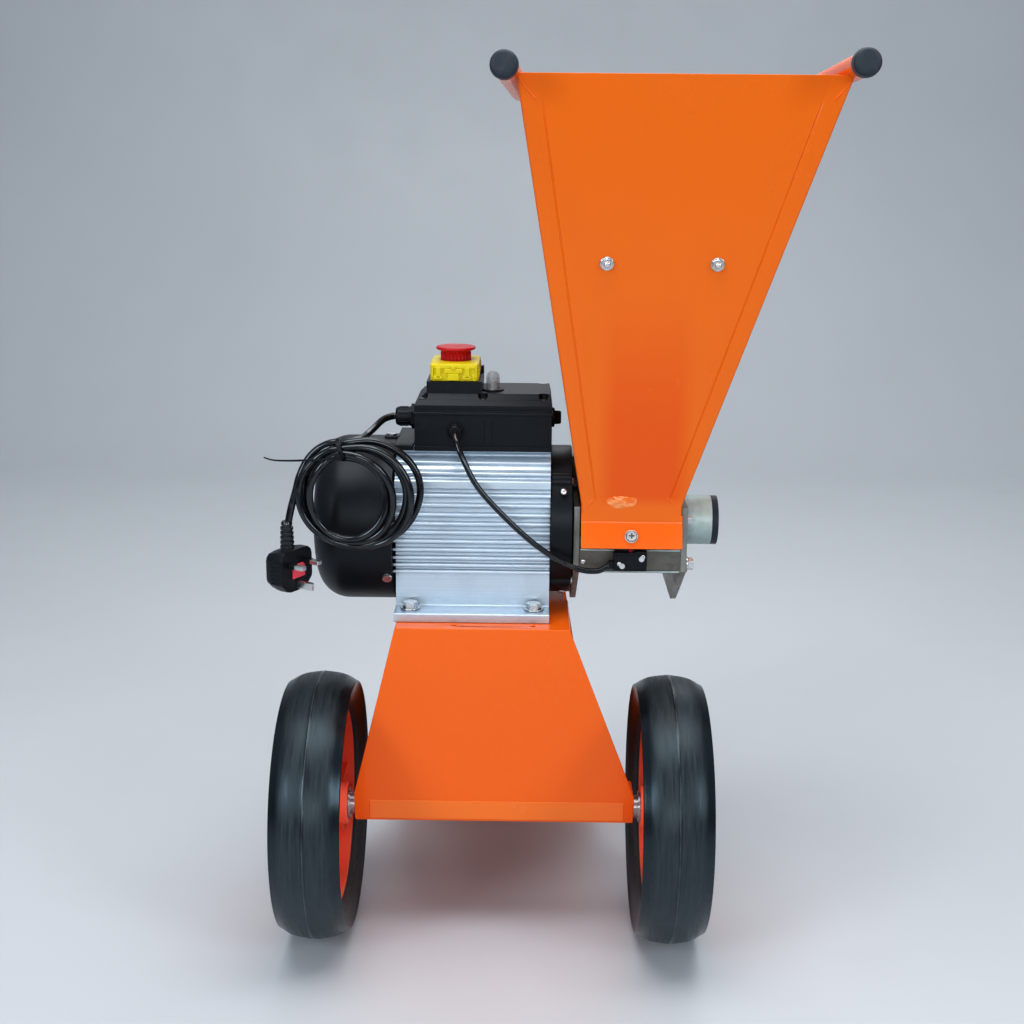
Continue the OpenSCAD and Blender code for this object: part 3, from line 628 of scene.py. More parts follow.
def build_motor_housing():
    """One extrusion: bore, fins with tapered tips, plain lower wall, feet and the pad for the box."""
    fins = (75.6, 65.2, 56.9, 47.6, 37.2, 27.6, 18.4, 9.6, 1.0, -7.6, -15.9, -23.8, -30.9, -37.3)
    thick = [3.6 if i == 3 else 1.3 for i in range(len(fins))]

    def face(z):
        """Half width of the envelope of the fin tips at this height."""
        return 64.8 if z < 50 else max(43.5, sqrt(max(82.5 * 82.5 - z * z, 0)))

    right = [(42, 80), (42, 78.6), (43.5, 77.6), (face(75.6), 76.4), (face(75.6), 75.0)]
    for i, z in enumerate(fins):
        tip, wide = face(z), thick[i]
        if i:
            right += [(tip - 2.6, z + wide + 1.1), (tip - 0.5, z + wide), (tip, z + wide - 0.5),
                      (tip, z - wide + 0.4)]
        right.append((tip - 0.5, z - wide))
        if i + 1 < len(fins):
            deep = 3.1 if z < 50 else 4.2
            for k in (0.28, 0.5, 0.72):
                h = z - wide + (fins[i + 1] + thick[i + 1] - z + wide) * k
                right.append((face(h) - deep, h))
        else:
            right.append((tip - 3.0, z - wide - 0.9))
    right += [(62.2, -40.8), (62.2, -70.2), (63.0, -71.2), (87.2, -71.2), (88, -72), (88, -79.4), (87.4, -80)]
    outline = right + [(-y, z) for y, z in right[::-1]]
    bm = bmesh.new()
    add_plate(bm, [outline, arc(0, 0, 60.1, [3.75 * i for i in range(96)])], 146,
              along_x(-95.5, MOTOR_Y, MOTOR_Z))
    piece("motor_extrusion", bm, "ribbed_aluminium", "motor_housing", 0.25, 1)
    # The finned wall runs on past the plain wall at the fan end.
    ends = [(MOTOR_Y + s * 63.3, MOTOR_Z + z) for z in fins[4:] for s in (-1, 1)]
    box_piece("fin_ends", [((-98, y - 1.2, z - 1.2), (-95.3, y + 1.2, z + 1.2)) for y, z in ends],
              "ribbed_aluminium", bevel=0.3, segments=1)


def build_base_hem():
    """Stiffening strip along the folded lower edge of the base, 0.6 mm proud of the sheet, in lighter orange
    as a painted reflection of the lit floor.
    """
    outline = [(BASE_FRONT_Y - 4 * (z - 117) / 27 + proud, z) for z, proud in
               ((117.6, 0.6), (137.6, 0.6), (137.6, -0.6), (117.6, -0.6))]
    bm = bmesh.new()
    add_bar(bm, [[at(x, y, z) for y, z in outline] for x in (-119, -60, 0, 62, 124)])
    piece("base_hem", bm, "orange_paint", bevel=0.3, look="hem_reflection_paint")


def build_motor_hardware():
    bm = bmesh.new()
    for x in (-81, 36):
        for y in (-72, 72):
            add_hex_bolt(bm, (x, MOTOR_Y + y, 318.9), (0, 0, 1), 13, 4.9, 18.5, 1.8, shank=12)
    piece("motor_foot_screws", bm, "zinc_plate", "motor_foot_bolts", 0.25)
    bm = bmesh.new()
    for y, z in arc(0, 0, 1, (90, 211, 329)):
        seat = Vector((-103, MOTOR_Y + y * 80.2, MOTOR_Z + z * 80.2))
        add_pan_screw(bm, seat, (0, y, z), 4.6, 2.8)
    for y, z in arc(MOTOR_Y, MOTOR_Z, 68, (45, 135, 225, 315)):
        add_pan_screw(bm, (70.4, y, z), (1, 0, 0), 4.2, 2.4)
    for y, z in ((29.8, 432.0), (58.5, 326.3)):
        add_pan_screw(bm, (62.6, y - 0.6, z), (0, y - MOTOR_Y, z - MOTOR_Z), 3.2, 2.2)
    piece("shield_screws", bm, "zinc_plate")
    # Lug on the fan cover under its top screw, and a black slab on the housing's top beside the box.
    bm = bmesh.new()
    add_prism(bm, rounded_rect(15.5, 15, 3), 4.2, frame_of((-102.4, MOTOR_Y, MOTOR_Z + 77.6), (0, 0, 1)))
    add_box(bm, (-97.4, 48.2, 465.6), (-78.7, 134.2, 471.2))
    piece("fan_cover_lug", bm, "black_paint", bevel=1.2, segments=3)
    box_piece("box_gasket", [((-78.4, y, 465.6), (51.4, y + 1.9, 470.3)) for y in (47.4, 136.7)],
              "black_plastic", bevel=0.4)


# ---------------- hopper

def hopper_walls(z):
    """Share of the slope at a height, then the hopper's left, right, near and far wall."""
    t = max(0.0, (z - 421) / 383)
    return t, 79 - 64 * t, 173 + 125.5 * t, 23 - 43 * t, 90.5 + 139.5 * t


def build_hopper():
    bm = bmesh.new()
    rows = []
    heights = {804 - 383 * i / 30 for i in range(29)} | {803.4, 440, 434, 429, 425, 421, 416, 410, 405.2}
    for z in sorted(heights, reverse=True):
        t, xl, xr, yr, yf = hopper_walls(z)
        if 408 < z < 436:
            # The near panel turns upright through a wide bend.
            yr = 23 - 43 * (15 / 383) * (1 - (436 - z) / 28) ** 2
        # Pressed lines run beside both corners and fade out at the rim and at the bend.
        d = 14 + 5 * t
        fade = min(1, max(0, (784 - z) / 8)) * min(1, max(0, (z - 424) / 6))
        r, lift, cx, half = 2.6, 0.55 * fade, (xl + xr) / 2, (xr - xl) / 2
        left = [(xl, yf), (xl, (yf + yr) / 2), (xl, yr + r + lift)]
        left += [(xl + r - r * cos(a), yr + lift + r - r * sin(a)) for a in (0.4, 0.8, 1.2)]
        left += [(xl + r, yr + lift)]
        left += [(xl + d + s, yr + h * fade) for s, h in
                 ((-3.0, 0.05), (-1.1, 0.1), (-0.45, 0.95), (0.35, 0.95), (0.9, 0.12), (3.2, 0.0))]
        middle = [(xl + (xr - xl) * k, yr) for k in (0.3, 0.4, 0.5, 0.6, 0.7)]
        pts = left + middle + [(xl + xr - x, y) for x, y in left[::-1]]
        inner = []
        for x, y in pts:
            if abs(x - cx) < half - 0.1 or y < yr + 3:
                y = max(y, yr + 2.0)
            if abs(x - cx) > half - 2.7:
                x += 2 if x < cx else -2
            inner.append(at(x, y, z))
        rows.append([at(x, y, z) for x, y in pts] + inner[::-1])
    add_skin(bm, rows)
    piece("hopper_shell", bm, "orange_paint", "hopper", 0.45, look="hopper_paint", body="hopper_unit")

    # The far panel is let in between the side walls and welded along both corners.
    bm = bmesh.new()
    rows = []
    for i in range(13):
        z = 803.4 - 29.7 * i
        _, xl, xr, _, yf = hopper_walls(z)
        across = [xl + 1.4 + (xr - xl - 2.8) * k / 3 for k in range(4)]
        rows.append([at(x, yf - 2.2, z) for x in across] + [at(x, yf - 0.2, z) for x in across[::-1]])
    add_skin(bm, rows)
    piece("hopper_far_panel", bm, "orange_paint", bevel=0.4, body="hopper_unit")

    # Flange below the bend, with a wide radius between it and the upright lip.
    bm = bmesh.new()
    path = [(23.0, 411)]
    path += [(17 + 6 * cos(a), 406.4 - 6 * sin(a)) for a in (0.0, 0.12, 0.24, 0.36, 0.427)]
    path += [(path[-1][0] - 4.55, path[-1][1] - 10), (13.0, 382.0)]
    inner = []
    for i, (y, z) in enumerate(path):
        d = (Vector(path[min(i + 1, len(path) - 1)]) - Vector(path[max(i - 1, 0)])).normalized()
        inner.append((y - d.y * 2.0, z + d.x * 2.0))
    add_skin(bm, [[at(79.2 + 94.5 * k / 8, y, z) for y, z in path + inner[::-1]] for k in range(9)])
    piece("hopper_flange", bm, "orange_paint", bevel=0.45, body="hopper_unit")

    bm = bmesh.new()
    lug = [(101, 452), (126, 520), (159, 440), (159, 431), (153, 427), (148, 428), (104, 447)]
    for x in (79, 169):
        add_plate(bm, [lug, arc(152, 434, 5.06, range(0, 360, 9))], 4, along_x(x, 0, 0))
    piece("hopper_hinge_lugs", bm, "orange_paint", bevel=0.5, body="hopper_unit")

    # Painted-over weld beads: short ones at the mitred corners, long ones down the far panel.
    bm = bmesh.new()
    rng = random.Random(4)
    beads = [((17.2, -19.3, 799), (33.5, -17.2, 781)), ((296.0, -19.4, 799.5), (281.5, -17.4, 783)),
             ((80.4, 23.2, 416), (94, 22.2, 430)), ((171.6, 23.2, 416), (158, 22.2, 430))]
    for a, b in beads:
        pts = [Vector(a).lerp(Vector(b), i / 10) for i in range(11)]
        add_sweep(bm, pts, [0.62 + rng.uniform(-0.12, 0.14) if 0 < i < 10 else 0.2 for i in range(11)], 8)
    for side in (0, 1):
        pts, rad = [], []
        for i in range(71):
            z = 800 - 5 * i
            _, xl, xr, _, yf = hopper_walls(z)
            pts.append((xr - 1.7 if side else xl + 1.7, yf - 0.3, z))
            rad.append(1.15 + 0.2 * sin(i * 2.1) + rng.uniform(-0.1, 0.1))
        add_sweep(bm, pts, rad, 8)
    piece("hopper_welds", bm, "orange_paint", body="hopper_unit")
    # A dressed weld swells out of the crease above the lip.
    bm = bmesh.new()
    rows = []
    for i in range(17):
        v = -1 + i / 8
        z = 424 + 6.5 * v
        near = hopper_walls(z)[3]
        front, back = [], []
        for j in range(33):
            u = -1 + j / 16
            swell = 2.3 * max(0, 1 - u * u) ** 1.3 * max(0, 1 - v * v) * (0.8 + 0.25 * sin(6 * u + 2))
            front.append(at(116 + 17 * u, near + 0.25 - swell, z))
            back.append(at(116 + 17 * u, near + 1.4, z))
        rows.append(front + back[::-1])
    add_skin(bm, rows)
    piece("dressed_weld", bm, "orange_paint", look="weld_paint_with_glint", body="hopper_unit")


def build_hopper_hardware():
    bm = bmesh.new()
    out = Vector((0, -0.9135, 0.4067))
    seat = Vector((126, 17.7, 392.5))
    add_hex_bolt(bm, seat, out, 8.2, 4.2, 12.4, 1.1, shank=13)
    piece("clamp_screw", bm, "bright_steel", "clamp_bolt", 0.5, body="hopper_unit")
    # Painted shade: a dark cross on the head for its recess and a dark ring where the head meets the washer.
    bm = bmesh.new()
    m = frame_of(seat + out * 5.2, out)
    for w, d in ((0.65, 2.5), (2.5, 0.65)):
        add_prism(bm, [(-w, -d), (w, -d), (w, d), (-w, d)], 0.35, m)
    add_lathe(bm, [(4.75, -4.15), (5.3, -4.15), (5.3, -3.9), (4.75, -3.9)], m, 32, closed=True)
    piece("clamp_screw_recess_shade", bm, "dark_steel", body="hopper_unit")

    # Studs, dome nuts and the rod the flap hangs on.
    bm = bmesh.new()
    out = Vector((0, -0.9938, -0.1116))
    for x in (96, 192.7):
        y = hopper_walls(ROD_Z)[3]
        seat = Vector((x, y - 0.05, ROD_Z))
        add_hex_bolt(bm, seat, out, 9.4, 3.0, 12.4, 1.1)
        add_lathe(bm, [(0, -1), (3.1, -1), (3.0, 0.6), (2.4, 1.6), (1.2, 2.2), (0, 2.35)],
                  frame_of(seat + out * 4.1, out), 28)
        add_sweep(bm, [(x, y + 0.5, ROD_Z), (x, ROD_Y, ROD_Z)], 3, 20)
        add_box(bm, (x - 4, ROD_Y - 5, ROD_Z - 5), (x + 4, ROD_Y + 5, ROD_Z + 5))
    add_sweep(bm, [(74, ROD_Y, ROD_Z), (214, ROD_Y, ROD_Z)], 3, 24)
    piece("flap_studs", bm, "zinc_plate", "flap_hanger", 0.3, body="hopper_unit")

    # Rubber flap: a hem round the rod and a sheet that sags and curls at its free corners.
    bm = bmesh.new()
    nu, nv = 24, 16
    rows = []
    for i in range(1, nv + 1):
        v = i / nv
        xa, xb, along = 62 + 12 * v, 226 - 36 * v, 150 * v
        skins = []
        for skin in (-2.4, 2.4):
            row = []
            for j in range(nu + 1):
                u = j / nu
                off = (skin - 1.6 * sin(pi * v) + 1.8 * v ** 3 * (2 * u - 1) ** 2
                       - 0.9 * sin(5 * u + 2 * v) * v * v)
                row.append(at(xa + (xb - xa) * u,
                              ROD_Y + along * cos(FLAP_FALL) + off * sin(FLAP_FALL),
                              ROD_Z - along * sin(FLAP_FALL) + off * cos(FLAP_FALL)))
            skins.append(row)
        rows.append(skins[0] + skins[1][::-1])
    add_skin(bm, rows)
    m = frame_of((0, ROD_Y, ROD_Z), (1, 0, 0))
    for xa, xb in ((78, 89.8), (102.2, 186.4), (199, 210)):
        add_lathe(bm, [(3.06, xa), (5.6, xa), (6, xa + 0.5), (6, xb - 0.5), (5.6, xb), (3.06, xb)], m, 32,
                  closed=True)
        add_prism(bm, [(4.5, -2.4), (13, -2.4), (13, 2.4), (4.5, 2.4)], xb - xa,
                  along_x(xa, ROD_Y, ROD_Z, -FLAP_FALL))
    piece("rubber_flap", bm, "soft_rubber", "chip_flap", 0.6, body="flap")

    bm = bmesh.new()
    yaw, fall = radians(2.3), radians(2)
    axis = Vector((sin(yaw) * cos(fall), cos(yaw) * cos(fall), -sin(fall)))
    for x, z in ((5.6, 808.4), (298.6, 812.2)):
        m = frame_of((x, -60, z), axis)
        add_lathe(bm, [(0, -1.9), (6, -1.85), (9.2, -1.6), (10.8, -0.9), (11.5, 0.3), (11.7, 1.8),
                       (11.6, 12.6), (11.3, 13.6), (10.6, 13.9), (10.55, 13.0), (10.55, 0.1), (0, 0.1)],
                  m, 56)
        add_lathe(bm, [(10.6, 5.2), (11.95, 5.3), (12.0, 5.7), (11.95, 6.1), (10.6, 6.2)], m, 56, closed=True)
    piece("handle_end_caps", bm, "soft_rubber", "handle_caps", body="hopper_unit")


# ---------------- chipping unit

def build_chipping_details():
    # Micro-switch: moulded case with a stepped face and a parting line, on bright screws.
    box_piece("limit_switch_case",
              [((110.2, 17.2, 359.2), (141.3, 26.8, 376.8)), ((112.6, 16.3, 361.2), (138.9, 17.8, 374.8)),
               ((105.4, 18.6, 360.4), (110.8, 24.8, 367.6)), ((130.5, 17.4, 376.4), (139.5, 25.6, 378.2))],
              "black_plastic", "micro_switch", 0.7, 3)
    bm = bmesh.new()
    for seat, r, h in (((115.4, 16.4, 366.0), 2.1, 0.7), ((137.4, 16.4, 373.0), 2.1, 0.7),
                       ((82.0, 26.6, 365), 2.6, 1.7)):
        add_pan_screw(bm, seat, (0, -1, 0), r, h)
    piece("limit_switch_screws", bm, "zinc_plate")
    # Folded lips along the top and bottom of the cross plate.
    box_piece("cross_plate_lips",
              [((79.0, 24.6, 376.2), (111.2, 28.2, 378.2)), ((141.2, 24.6, 376.2), (173.0, 28.2, 378.2)),
               ((79.0, 25.6, 355.0), (173.0, 28.2, 356.8))], "zinc_sheet", bevel=0.7)
    # Two hex heads with washers on the right side plate.
    bm = bmesh.new()
    add_hex_bolt(bm, (179.6, 37.5, 361.0), (1, 0, 0), 11, 5.6, 16, 1.6)
    add_hex_bolt(bm, (179.6, 40, 403.5), (1, 0, 0), 8.5, 3.6, 13, 1.2)
    piece("side_plate_screws", bm, "zinc_plate", bevel=0.2)


# ---------------- switch gear

def build_stop_flap():
    """Yellow flap: a hollow shell with a rolled top edge, a clip, moulded posts and a hinge."""
    bm = bmesh.new()
    outline, inner = rounded_rect(45.6, 57.5, 4.5, 4), rounded_rect(41.6, 53.5, 2.6, 4)
    opening = arc(0, 1.25, 14.9, range(45, 405, 18))
    cover = Matrix.Translation(at(STOP_X, 88.75, 0)) @ Matrix.Scale(MM, 4)

    def loop(points, z, grow=0.0):
        out = []
        for x, y in points:
            n = Vector((x, y)).normalized() * grow
            out.append(cover @ Vector((x + n.x, y + n.y, z)))
        return out

    walls = ((530.2, -0.3), (530.8, 0.0), (536, 0.0), (536.4, -0.5), (541.4, -0.5), (542.2, 0.25),
             (544.8, 0.25), (546.0, -0.5), (546.5, -2.0))
    verts = add_grid(bm, [loop(inner, 531.0)] + [loop(outline, z, grow) for z, grow in walls], close_v=True)
    # Top deck down to the round opening, then the skirt under it and the inner wall.
    top, low, wall = ([bm.verts.new(p) for p in ring] for ring in
                      (loop(opening, 546.5), loop(opening, 544.5), loop(inner, 544.5)))
    fill_between(bm, verts[-1], top)
    add_band(bm, top, low)
    fill_between(bm, low, wall)
    add_band(bm, wall, verts[0])
    piece("stop_flap_shell", bm, "yellow_plastic", "stop_cover", 0.35, body="cover")

    boxes = [((-47.4, 56.8, 531.0), (-36.6, 61.4, 537.6)), ((-50.4, 58.2, 537.6), (-33.6, 61.2, 541.6)),
             ((-44.4, 57.2, 541.2), (-39.6, 61.0, 544.8))]
    for x in (-56.0, -28.8):
        boxes += [((x - 2.4, 57.0, 533.4), (x + 2.4, 61.2, 543.4)),
                  ((x - 4.6, 57.0, 532.0), (x + 3.4, 61.2, 535.4))]
    for x in (-61.6, -20.6):
        boxes.append(((x - 1.0, 58.8, 533), (x + 1.0, 61.2, 545.6)))
    for y in (66, 112):
        for s in (-1, 1):
            boxes.append(((STOP_X + s * 21.8 - 1.0, y - 2, 533), (STOP_X + s * 22.4 + 1.0, y + 2, 543)))
    box_piece("stop_flap_clip", boxes, "yellow_plastic", bevel=0.7, segments=3, body="cover")
    bm = bmesh.new()
    add_lathe(bm, [(1.56, -61.6), (2.7, -61.6), (3, -61.2), (3, -20.8), (2.7, -20.4), (1.56, -20.4)],
              frame_of((0, 121, 533.5), (1, 0, 0)), 24, closed=True)
    add_box(bm, (-61.8, 114.6, 533.8), (-20.2, 121, 537.6))
    piece("stop_flap_hinge", bm, "yellow_plastic", bevel=0.4, body="cover")


def add_ribs(bm, x, y, count, foot, head, radii, segments):
    """Upright ribs round a neck; foot and head give distance out and height."""
    for i in range(count):
        dx, dy = arc(0, 0, 1, [360 * i / count])[0]
        add_sweep(bm, [(x + dx * r, y + dy * r, z) for r, z in (foot, head)], radii, segments)


def build_switch_gear():
    # Red mushroom with a rolled brim, fluted neck and a shallow crown.
    bm = bmesh.new()
    add_lathe(bm, [(0, 538.0), (12.0, 538.0), (12.4, 538.4), (13.0, 546), (13.9, 554.6), (15.2, 556.0),
                   (18.2, 556.4), (18.7, 556.9), (18.8, 557.8), (18.4, 558.7), (17.2, 559.2), (15.4, 559.3),
                   (13.4, 558.7), (11.0, 558.5), (6.5, 558.9), (0, 559.1)],
              frame_of((STOP_X, STOP_Y, 0), (0, 0, 1)), 72)
    add_ribs(bm, STOP_X, STOP_Y, 24, (13.35, 541), (13.6, 554), [0.85, 1.0], 8)
    piece("mushroom_head", bm, "red_plastic", "stop_mushroom", body="mushroom")

    # Clear boot over the reset button, ribbed inside, with its clamped ring.
    bm = bmesh.new()
    m = frame_of((RESET_X, RESET_Y, 519), (0, 0, 1))
    bend = (0, 18, 36, 54, 70, 82)
    add_lathe(bm, [(9.0, 0.1), (9.1, 0.7), (9.0, 1.6), (8.4, 2.2), (7.6, 2.5), (7.0, 3.2), (6.7, 6.5)]
              + arc(0, 12.4, 6.6, bend) + [(0, 19)], m, 48)
    add_lathe(bm, [(0, 18.0)] + arc(0, 12.4, 5.6, bend[::-1]) + [(5.6, 0.2)], m, 48)
    add_ribs(bm, RESET_X, RESET_Y, 8, (5.75, 521), (5.75, 531), [0.45, 0.4], 6)
    piece("reset_cap", bm, "clear_boot", "reset_boot")
    bm = bmesh.new()
    add_lathe(bm, [(6.9, 519.0), (10.4, 519.0), (10.6, 519.5), (10.2, 520.3), (9.2, 520.6), (6.9, 520.6)],
              frame_of((RESET_X, RESET_Y, 0), (0, 0, 1)), 40, closed=True)
    piece("reset_ring", bm, "black_plastic")

    # Raised seam, corner ribs and a blank panel on the box.
    box_piece("box_seam", [((-78.9, 47.1, 499.6), (51.9, 132.9, 502.6))], "black_plastic",
              bevel=0.9, segments=3)
    bm = bmesh.new()
    add_prism(bm, rounded_rect(7.2, 24, 1.4), 1.0, frame_of((-8.6, 48.2, 484), (0, -1, 0)))
    for x in (-76.4, 49.4):
        add_prism(bm, rounded_rect(3.0, 27, 1.0), 0.7, frame_of((x, 48.2, 484.5), (0, -1, 0)))
    piece("box_panel", bm, "black_plastic", bevel=0.35)
    # Plug in the unused right-hand cable entry, on the side that faces the hopper.
    bm = bmesh.new()
    add_lathe(bm, [(0, 60), (5.4, 60), (6.2, 59.2), (6.6, 54), (9.2, 53.6), (9.4, 51), (0, 51)],
              frame_of((0, 75, 494), (1, 0, 0)), 32)
    piece("blank_entry", bm, "black_plastic")


# ---------------- cables

def gland(bm, origin, axis, r, length, nut):
    """Hexagon, domed cap nut and its grip ribs."""
    m = frame_of(origin, axis)
    add_prism(bm, hexagon(nut * 2), 4.6, m)
    add_lathe(bm, [(0, 4.4), (r + 0.6, 4.4), (r + 0.6, 6.0), (r, 6.4), (r, length - 3),
                   (r - 0.6, length - 1.2), (r - 1.8, length), (r - 3.6, length), (0, length)], m, 40)
    for i in range(14):
        x, y = arc(0, 0, r, [360 * i / 14])[0]
        ends = [m @ Vector((x, y, h)) / MM for h in (7.4, length - 3.4)]
        add_sweep(bm, [(v.x, v.y - AXLE_Y, v.z) for v in ends], 0.55, 6)


def build_cables():
    """Glands, the lead to the safety switch, the coiled mains lead and its tie."""
    bm = bmesh.new()
    gland(bm, (-78, 75, 493.7), (-1, 0, 0), 9.0, 19.5, 10.6)
    gland(bm, (-39.6, 48, 485), (0, -1, 0), 6.9, 8.2, 7.4)
    piece("gland_bodies", bm, "black_plastic", "cable_glands", 0.3)

    # Lead to the safety switch: leaves the gland, hangs free and dips into the switch.
    lead = smooth_path([(-39.6, 46, 485), (-39.3, 36, 484.2), (-37.4, 27, 479), (-31.5, 20.5, 465),
                        (-17.2, 17, 438.4), (8.1, 16, 410.2), (36.4, 15, 384.6), (61.9, 14, 368),
                        (80, 14.4, 360.6), (95, 17.5, 358.8), (103, 20.5, 361.5), (108, 21.6, 364)], 9)
    bm = bmesh.new()
    boot = [1.5 * (1 - i / 22) + (0.22 if i % 3 == 0 and i < 15 else 0) for i in range(22)]
    add_sweep(bm, lead, [LEAD_R + b for b in boot] + [LEAD_R] * (len(lead) - len(boot)), 20)
    piece("safety_cable", bm, "cable_rubber", "safety_lead")

    # Mains lead: five slack turns that cross one another, tied at the top.
    rng = random.Random(11)
    # Middle X and Z, radius across and up, and depth of each turn.
    turns = [(-130.4, 435.8, 31.0, 34.6, -17.0), (-131.4, 435.6, 36.4, 40.4, -24.0),
             (-126.4, 437.4, 44.6, 43.6, -12.5), (-127.4, 435.6, 50.4, 47.2, -21.0),
             (-122.6, 438.6, 53.4, 49.6, -10.5)]
    pts = []
    steps = 30
    for k, turn in enumerate(turns):
        nxt = turns[(k + 1) % len(turns)]
        wob = [rng.uniform(-0.9, 0.9) for _ in range(4)]
        for i in range(steps):
            t = i / steps
            s = t * t * (3 - 2 * t) if k + 1 < len(turns) else 0
            cx, cz, rx, rz, depth = (p * (1 - s) + q * s for p, q in zip(turn, nxt))
            a = radians(104) - 2 * pi * t
            rx += wob[0] * sin(2 * a + 1) + wob[1] * sin(3 * a)
            rz += wob[2] * sin(2 * a) + wob[3] * sin(3 * a + 2)
            # The tie draws the turns together at the top.
            pinch = exp(-((((t + 0.5) % 1) - 0.5) / 0.06) ** 2)
            depth += 1.6 * sin(2 * a + k * 1.7)
            depth += (-16.0 - depth) * 0.35 * pinch
            z = cz + rz * sin(a)
            pts.append((cx + rx * cos(a), depth, z + (480 - z) * 0.30 * pinch))
    tail = [(-139, -13, 486.4), (-150, -13, 484.4), (-161.0, -13, 478.5), (-170.0, -14, 468.5),
            (-176.6, -16, 455), (-180.4, -17.5, 441), (-184.4, -18.6, 427), (-187.2, -19.4, 414),
            (-188.4, -20, 404), (-188.9, -20, 392.5)]
    inlet = [(-96, 75, 493.7), (-101, 74.6, 493.5), (-109, 67, 491.5), (-116, 50, 486.6), (-121, 30, 484),
             (-124, 10, 484.4), (-130, -4, 484.6), (-139, -9.0, 481.4)]
    bm = bmesh.new()
    for path in (smooth_path(inlet + [pts[4], pts[6]], 6)[:-6], smooth_path(pts, 3), smooth_path(tail, 7)):
        add_sweep(bm, path, MAINS_R, 16)
    piece("mains_lead", bm, "cable_rubber", "mains_cable")

    # Cable tie round the bundle, with its head and a long tail.
    bm = bmesh.new()
    centre = Vector((-138.6, -16, 480.0))
    axis = Vector((0.92, 0.05, 0.30)).normalized()
    up = Vector((-0.30, 0, 0.95)).normalized()
    side = axis.cross(up).normalized()
    rows = []
    for c, s in arc(0, 0, 1, range(0, 360, 10)):
        o = centre + up * (9.6 * s) + side * (12.4 * c)
        n = (up * s * 1.2 + side * c).normalized() * 1.1
        rows.append([at(*(o + axis * w + n * k)) for w, k in ((1.9, 0), (1.9, 1), (-1.9, 1), (-1.9, 0))])
    add_grid(bm, rows, close_u=True, close_v=True)
    add_box(bm, (-142.6, -32.4, 473.0), (-137.0, -27.2, 478.2))
    path = smooth_path([(-141, -30.6, 475.6), (-152, -30.4, 473.4), (-166, -30, 472.7), (-182, -29.6, 472.0),
                        (-197, -29.2, 472.2), (-206, -29.0, 474.6)], 6)
    rows = []
    for i, p in enumerate(path):
        half = 1.15 * (1 - 0.5 * i / len(path))
        corners = ((-0.5, -half), (0.5, -half), (0.5, half), (-0.5, half))
        rows.append([at(p.x, p.y + y, p.z + z) for y, z in corners])
    add_bar(bm, rows)
    piece("cable_tie", bm, "black_plastic", bevel=0.2)


def build_plug():
    """Moulded three-pin plug: waisted body, finger grooves, ribbed boot, fuse holder and pins."""
    # Local X runs across the pin face, Y away from the pins, Z up.
    turn = Matrix.Translation(at(*PLUG)) @ Matrix.Rotation(radians(60), 4, "Z") @ Matrix.Scale(MM, 4)
    half = [(0, -18.2), (9, -18.0), (13.5, -16.6), (21, -9.5), (22, -6.5), (22, 13.0), (20.8, 17.0),
            (17.6, 19.9), (8, 21.0), (0, 21.0)]
    outline = half + [(-x, z) for x, z in half[::-1][1:-1]]
    waist = ((-11.0, 0.955), (-10.4, 0.985), (-9.4, 1.0), (-1.5, 1.0), (1.0, 0.985), (4, 0.955), (8.6, 0.90),
             (10.4, 0.82), (11.0, 0.70))
    bm = bmesh.new()
    add_bar(bm, [[turn @ Vector((x * k, y, z * k)) for x, z in outline] for y, k in waist])
    for x in (-21.6, 21.6):
        for z in (-8, -4.4, -0.8, 2.8, 6.4, 10):
            add_box(bm, (x - 0.9, -7.6, z - 0.9), (x + 0.9, 2.6, z + 0.9), turn)
    piece("plug_moulding", bm, "black_plastic", "plug_body", 0.8, 3)

    bm = bmesh.new()
    prof = [(0, 0), (6.6, 0), (6.6, 1.2)]
    for k in range(5):
        z, r = 1.6 + k * 4.4, 6.5 - k * 0.16
        prof += [(r, z), (r, z + 2.6), (r - 1.2, z + 3.0), (r - 1.2, z + 4.0)]
    prof += [(5.2, 24.4), (4.7, 26.4), (4.25, 27.0), (0, 27.0)]
    add_lathe(bm, prof, frame_of(Vector(PLUG) + Vector((0, 0, 19)), (0, 0, 1)), 32)
    piece("plug_cord_boot", bm, "cable_rubber", bevel=0.2)

    bm = bmesh.new()
    add_box(bm, (-7.4, -12.1, -5.6), (9.8, -10.2, 7.4), turn)
    piece("fuse_holder", bm, "red_plastic", bevel=0.5, look="fuse_plastic")

    blades, sleeves = bmesh.new(), bmesh.new()
    for x in (-11, 11):
        add_box(blades, (x - 3.15, -28, 6.05), (x + 3.15, -18.6, 9.95), turn)
        add_box(sleeves, (x - 3.3, -18.8, 5.9), (x + 3.3, -10.8, 10.1), turn)
    add_box(blades, (-2, -28.4, -15.4), (2, -10.8, -8.4), turn)
    piece("pin_blades", blades, "zinc_plate", "plug_pins", 0.55, 3)
    piece("pin_sleeves", sleeves, "black_plastic", bevel=0.5)


# ---------------- scene

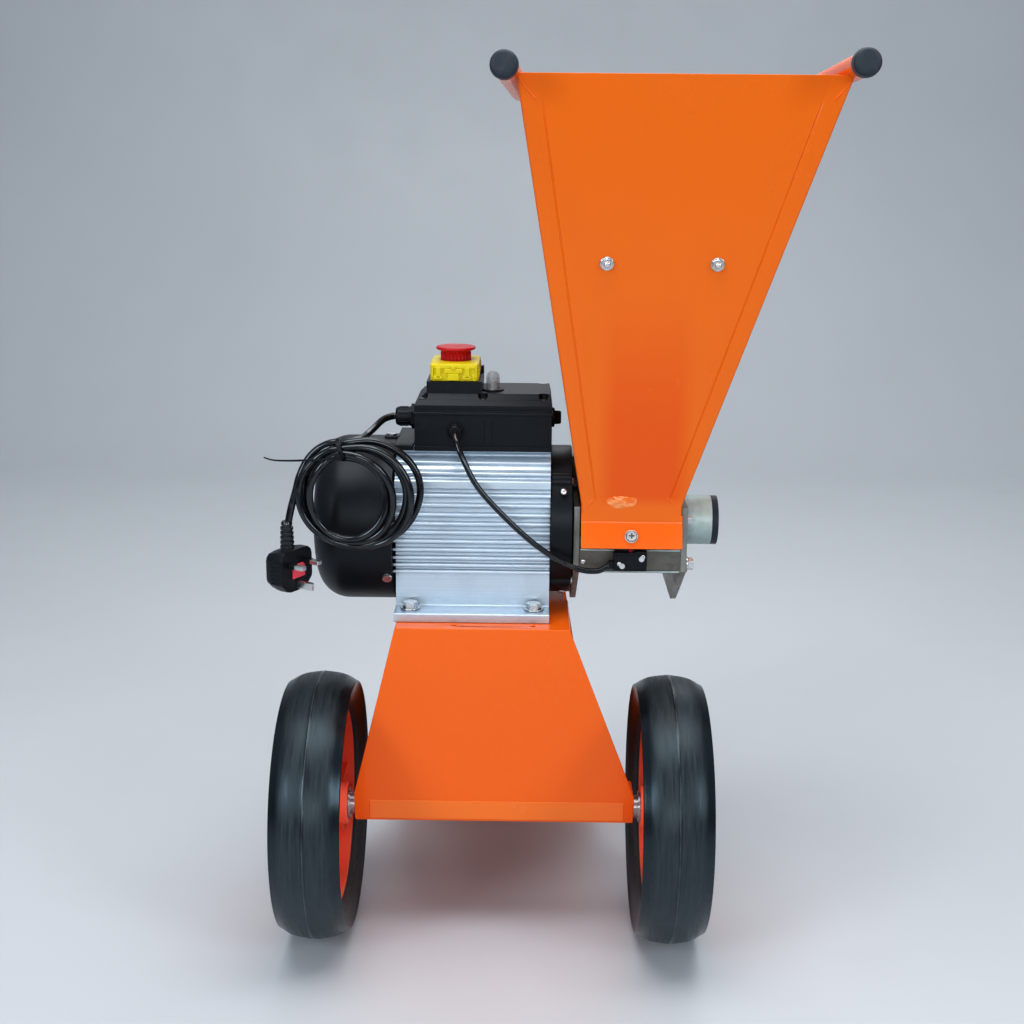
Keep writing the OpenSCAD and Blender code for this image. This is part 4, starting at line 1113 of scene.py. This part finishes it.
def build_studio():
    """Cool grey sweep, soft area lights and a dim graded sky."""
    scene = bpy.context.scene
    bm = bmesh.new()
    # One sheet: flat floor that curves up into the backdrop.
    r, back = 0.9, 2.6
    line = [(-4.0, 0.0), (back - r, 0.0)] + arc(back - r, r, r, range(-81, 1, 9)) + [(back, 5.0)]
    add_grid(bm, [[Vector((x, y, z)) for y, z in line] for x in (-5, -2, 0, 2, 5)])
    floor = mesh_object("studio_floor", bm)
    floor.data.materials.append(MATS["studio_floor"])

    def area(name, loc, target, size, power, color=(1, 1, 1)):
        light = bpy.data.lights.new(name, "AREA")
        light.shape = "RECTANGLE"
        light.size, light.size_y = size
        light.energy = power
        light.color = color
        obj = bpy.data.objects.new(name, light)
        scene.collection.objects.link(obj)
        obj.location = loc
        obj.rotation_euler = (Vector(target) - Vector(loc)).to_track_quat("-Z", "Y").to_euler()

    cool = (0.86, 0.93, 1.0)
    area("overhead", (0.1, -0.35, 2.3), (0.0, -0.1, 0.3), (2.2, 1.3), 38)
    area("front_left", (-1.75, -2.2, 1.45), (0.0, -0.2, 0.4), (0.8, 1.0), 21, cool)
    area("front_right", (1.95, -2.0, 1.4), (0.05, -0.2, 0.4), (0.7, 1.0), 17, cool)
    area("front_key", (0.1, -3.0, 1.1), (0.05, -0.2, 0.5), (1.2, 0.5), 14)
    area("rear_fill", (0.3, 1.9, 1.9), (0.0, 0.0, 0.4), (1.6, 1.0), 9)

    scene.world = bpy.data.worlds.new("studio")
    scene.world.use_nodes = True
    tree = scene.world.node_tree
    tree.nodes.clear()
    coord, split, scale, ramp, sky, out = (tree.nodes.new("ShaderNode" + kind) for kind in (
        "TexCoord", "SeparateXYZ", "Math", "ValToRGB", "Background", "OutputWorld"))
    low, high = ramp.color_ramp.elements
    low.position, low.color = 0.42, (0.07, 0.075, 0.085, 1)
    high.position, high.color = 0.78, (0.62, 0.68, 0.76, 1)
    scale.operation = "MULTIPLY_ADD"
    scale.inputs[1].default_value = scale.inputs[2].default_value = 0.5
    sky.inputs[1].default_value = 0.5
    for a, b in ((coord.outputs["Generated"], split), (split.outputs["Z"], scale), (scale.outputs[0], ramp),
                 (ramp.outputs[0], sky), (sky.outputs[0], out)):
        tree.links.new(a, b.inputs[0])


def build_camera():
    """Eye level a little above the controls, looking down 14.5 degrees."""
    scene = bpy.context.scene
    cam = bpy.data.cameras.new("camera")
    cam.lens = 50
    cam.sensor_width = 36
    obj = bpy.data.objects.new("camera", cam)
    scene.collection.objects.link(obj)
    # Turned about the upright by 0.6 degrees and rolled by 0.5.
    pitch, yaw, roll = (Matrix.Rotation(radians(angle), 4, axis) for angle, axis in
                        ((90 - 14.5, "X"), (0.6, "Z"), (0.5, "Z")))
    obj.matrix_world = Matrix.Translation((0.028, -1.5294, 0.7458)) @ yaw @ pitch @ roll
    scene.camera = obj
    scene.view_settings.view_transform = "Standard"
    scene.view_settings.look = "Medium High Contrast"


dress_cad_nodes()
build_tyres()
build_motor_housing()
build_motor_hardware()
build_base_hem()
build_hopper()
build_hopper_hardware()
build_chipping_details()
build_stop_flap()
build_switch_gear()
build_cables()
build_plug()
build_studio()
build_camera()
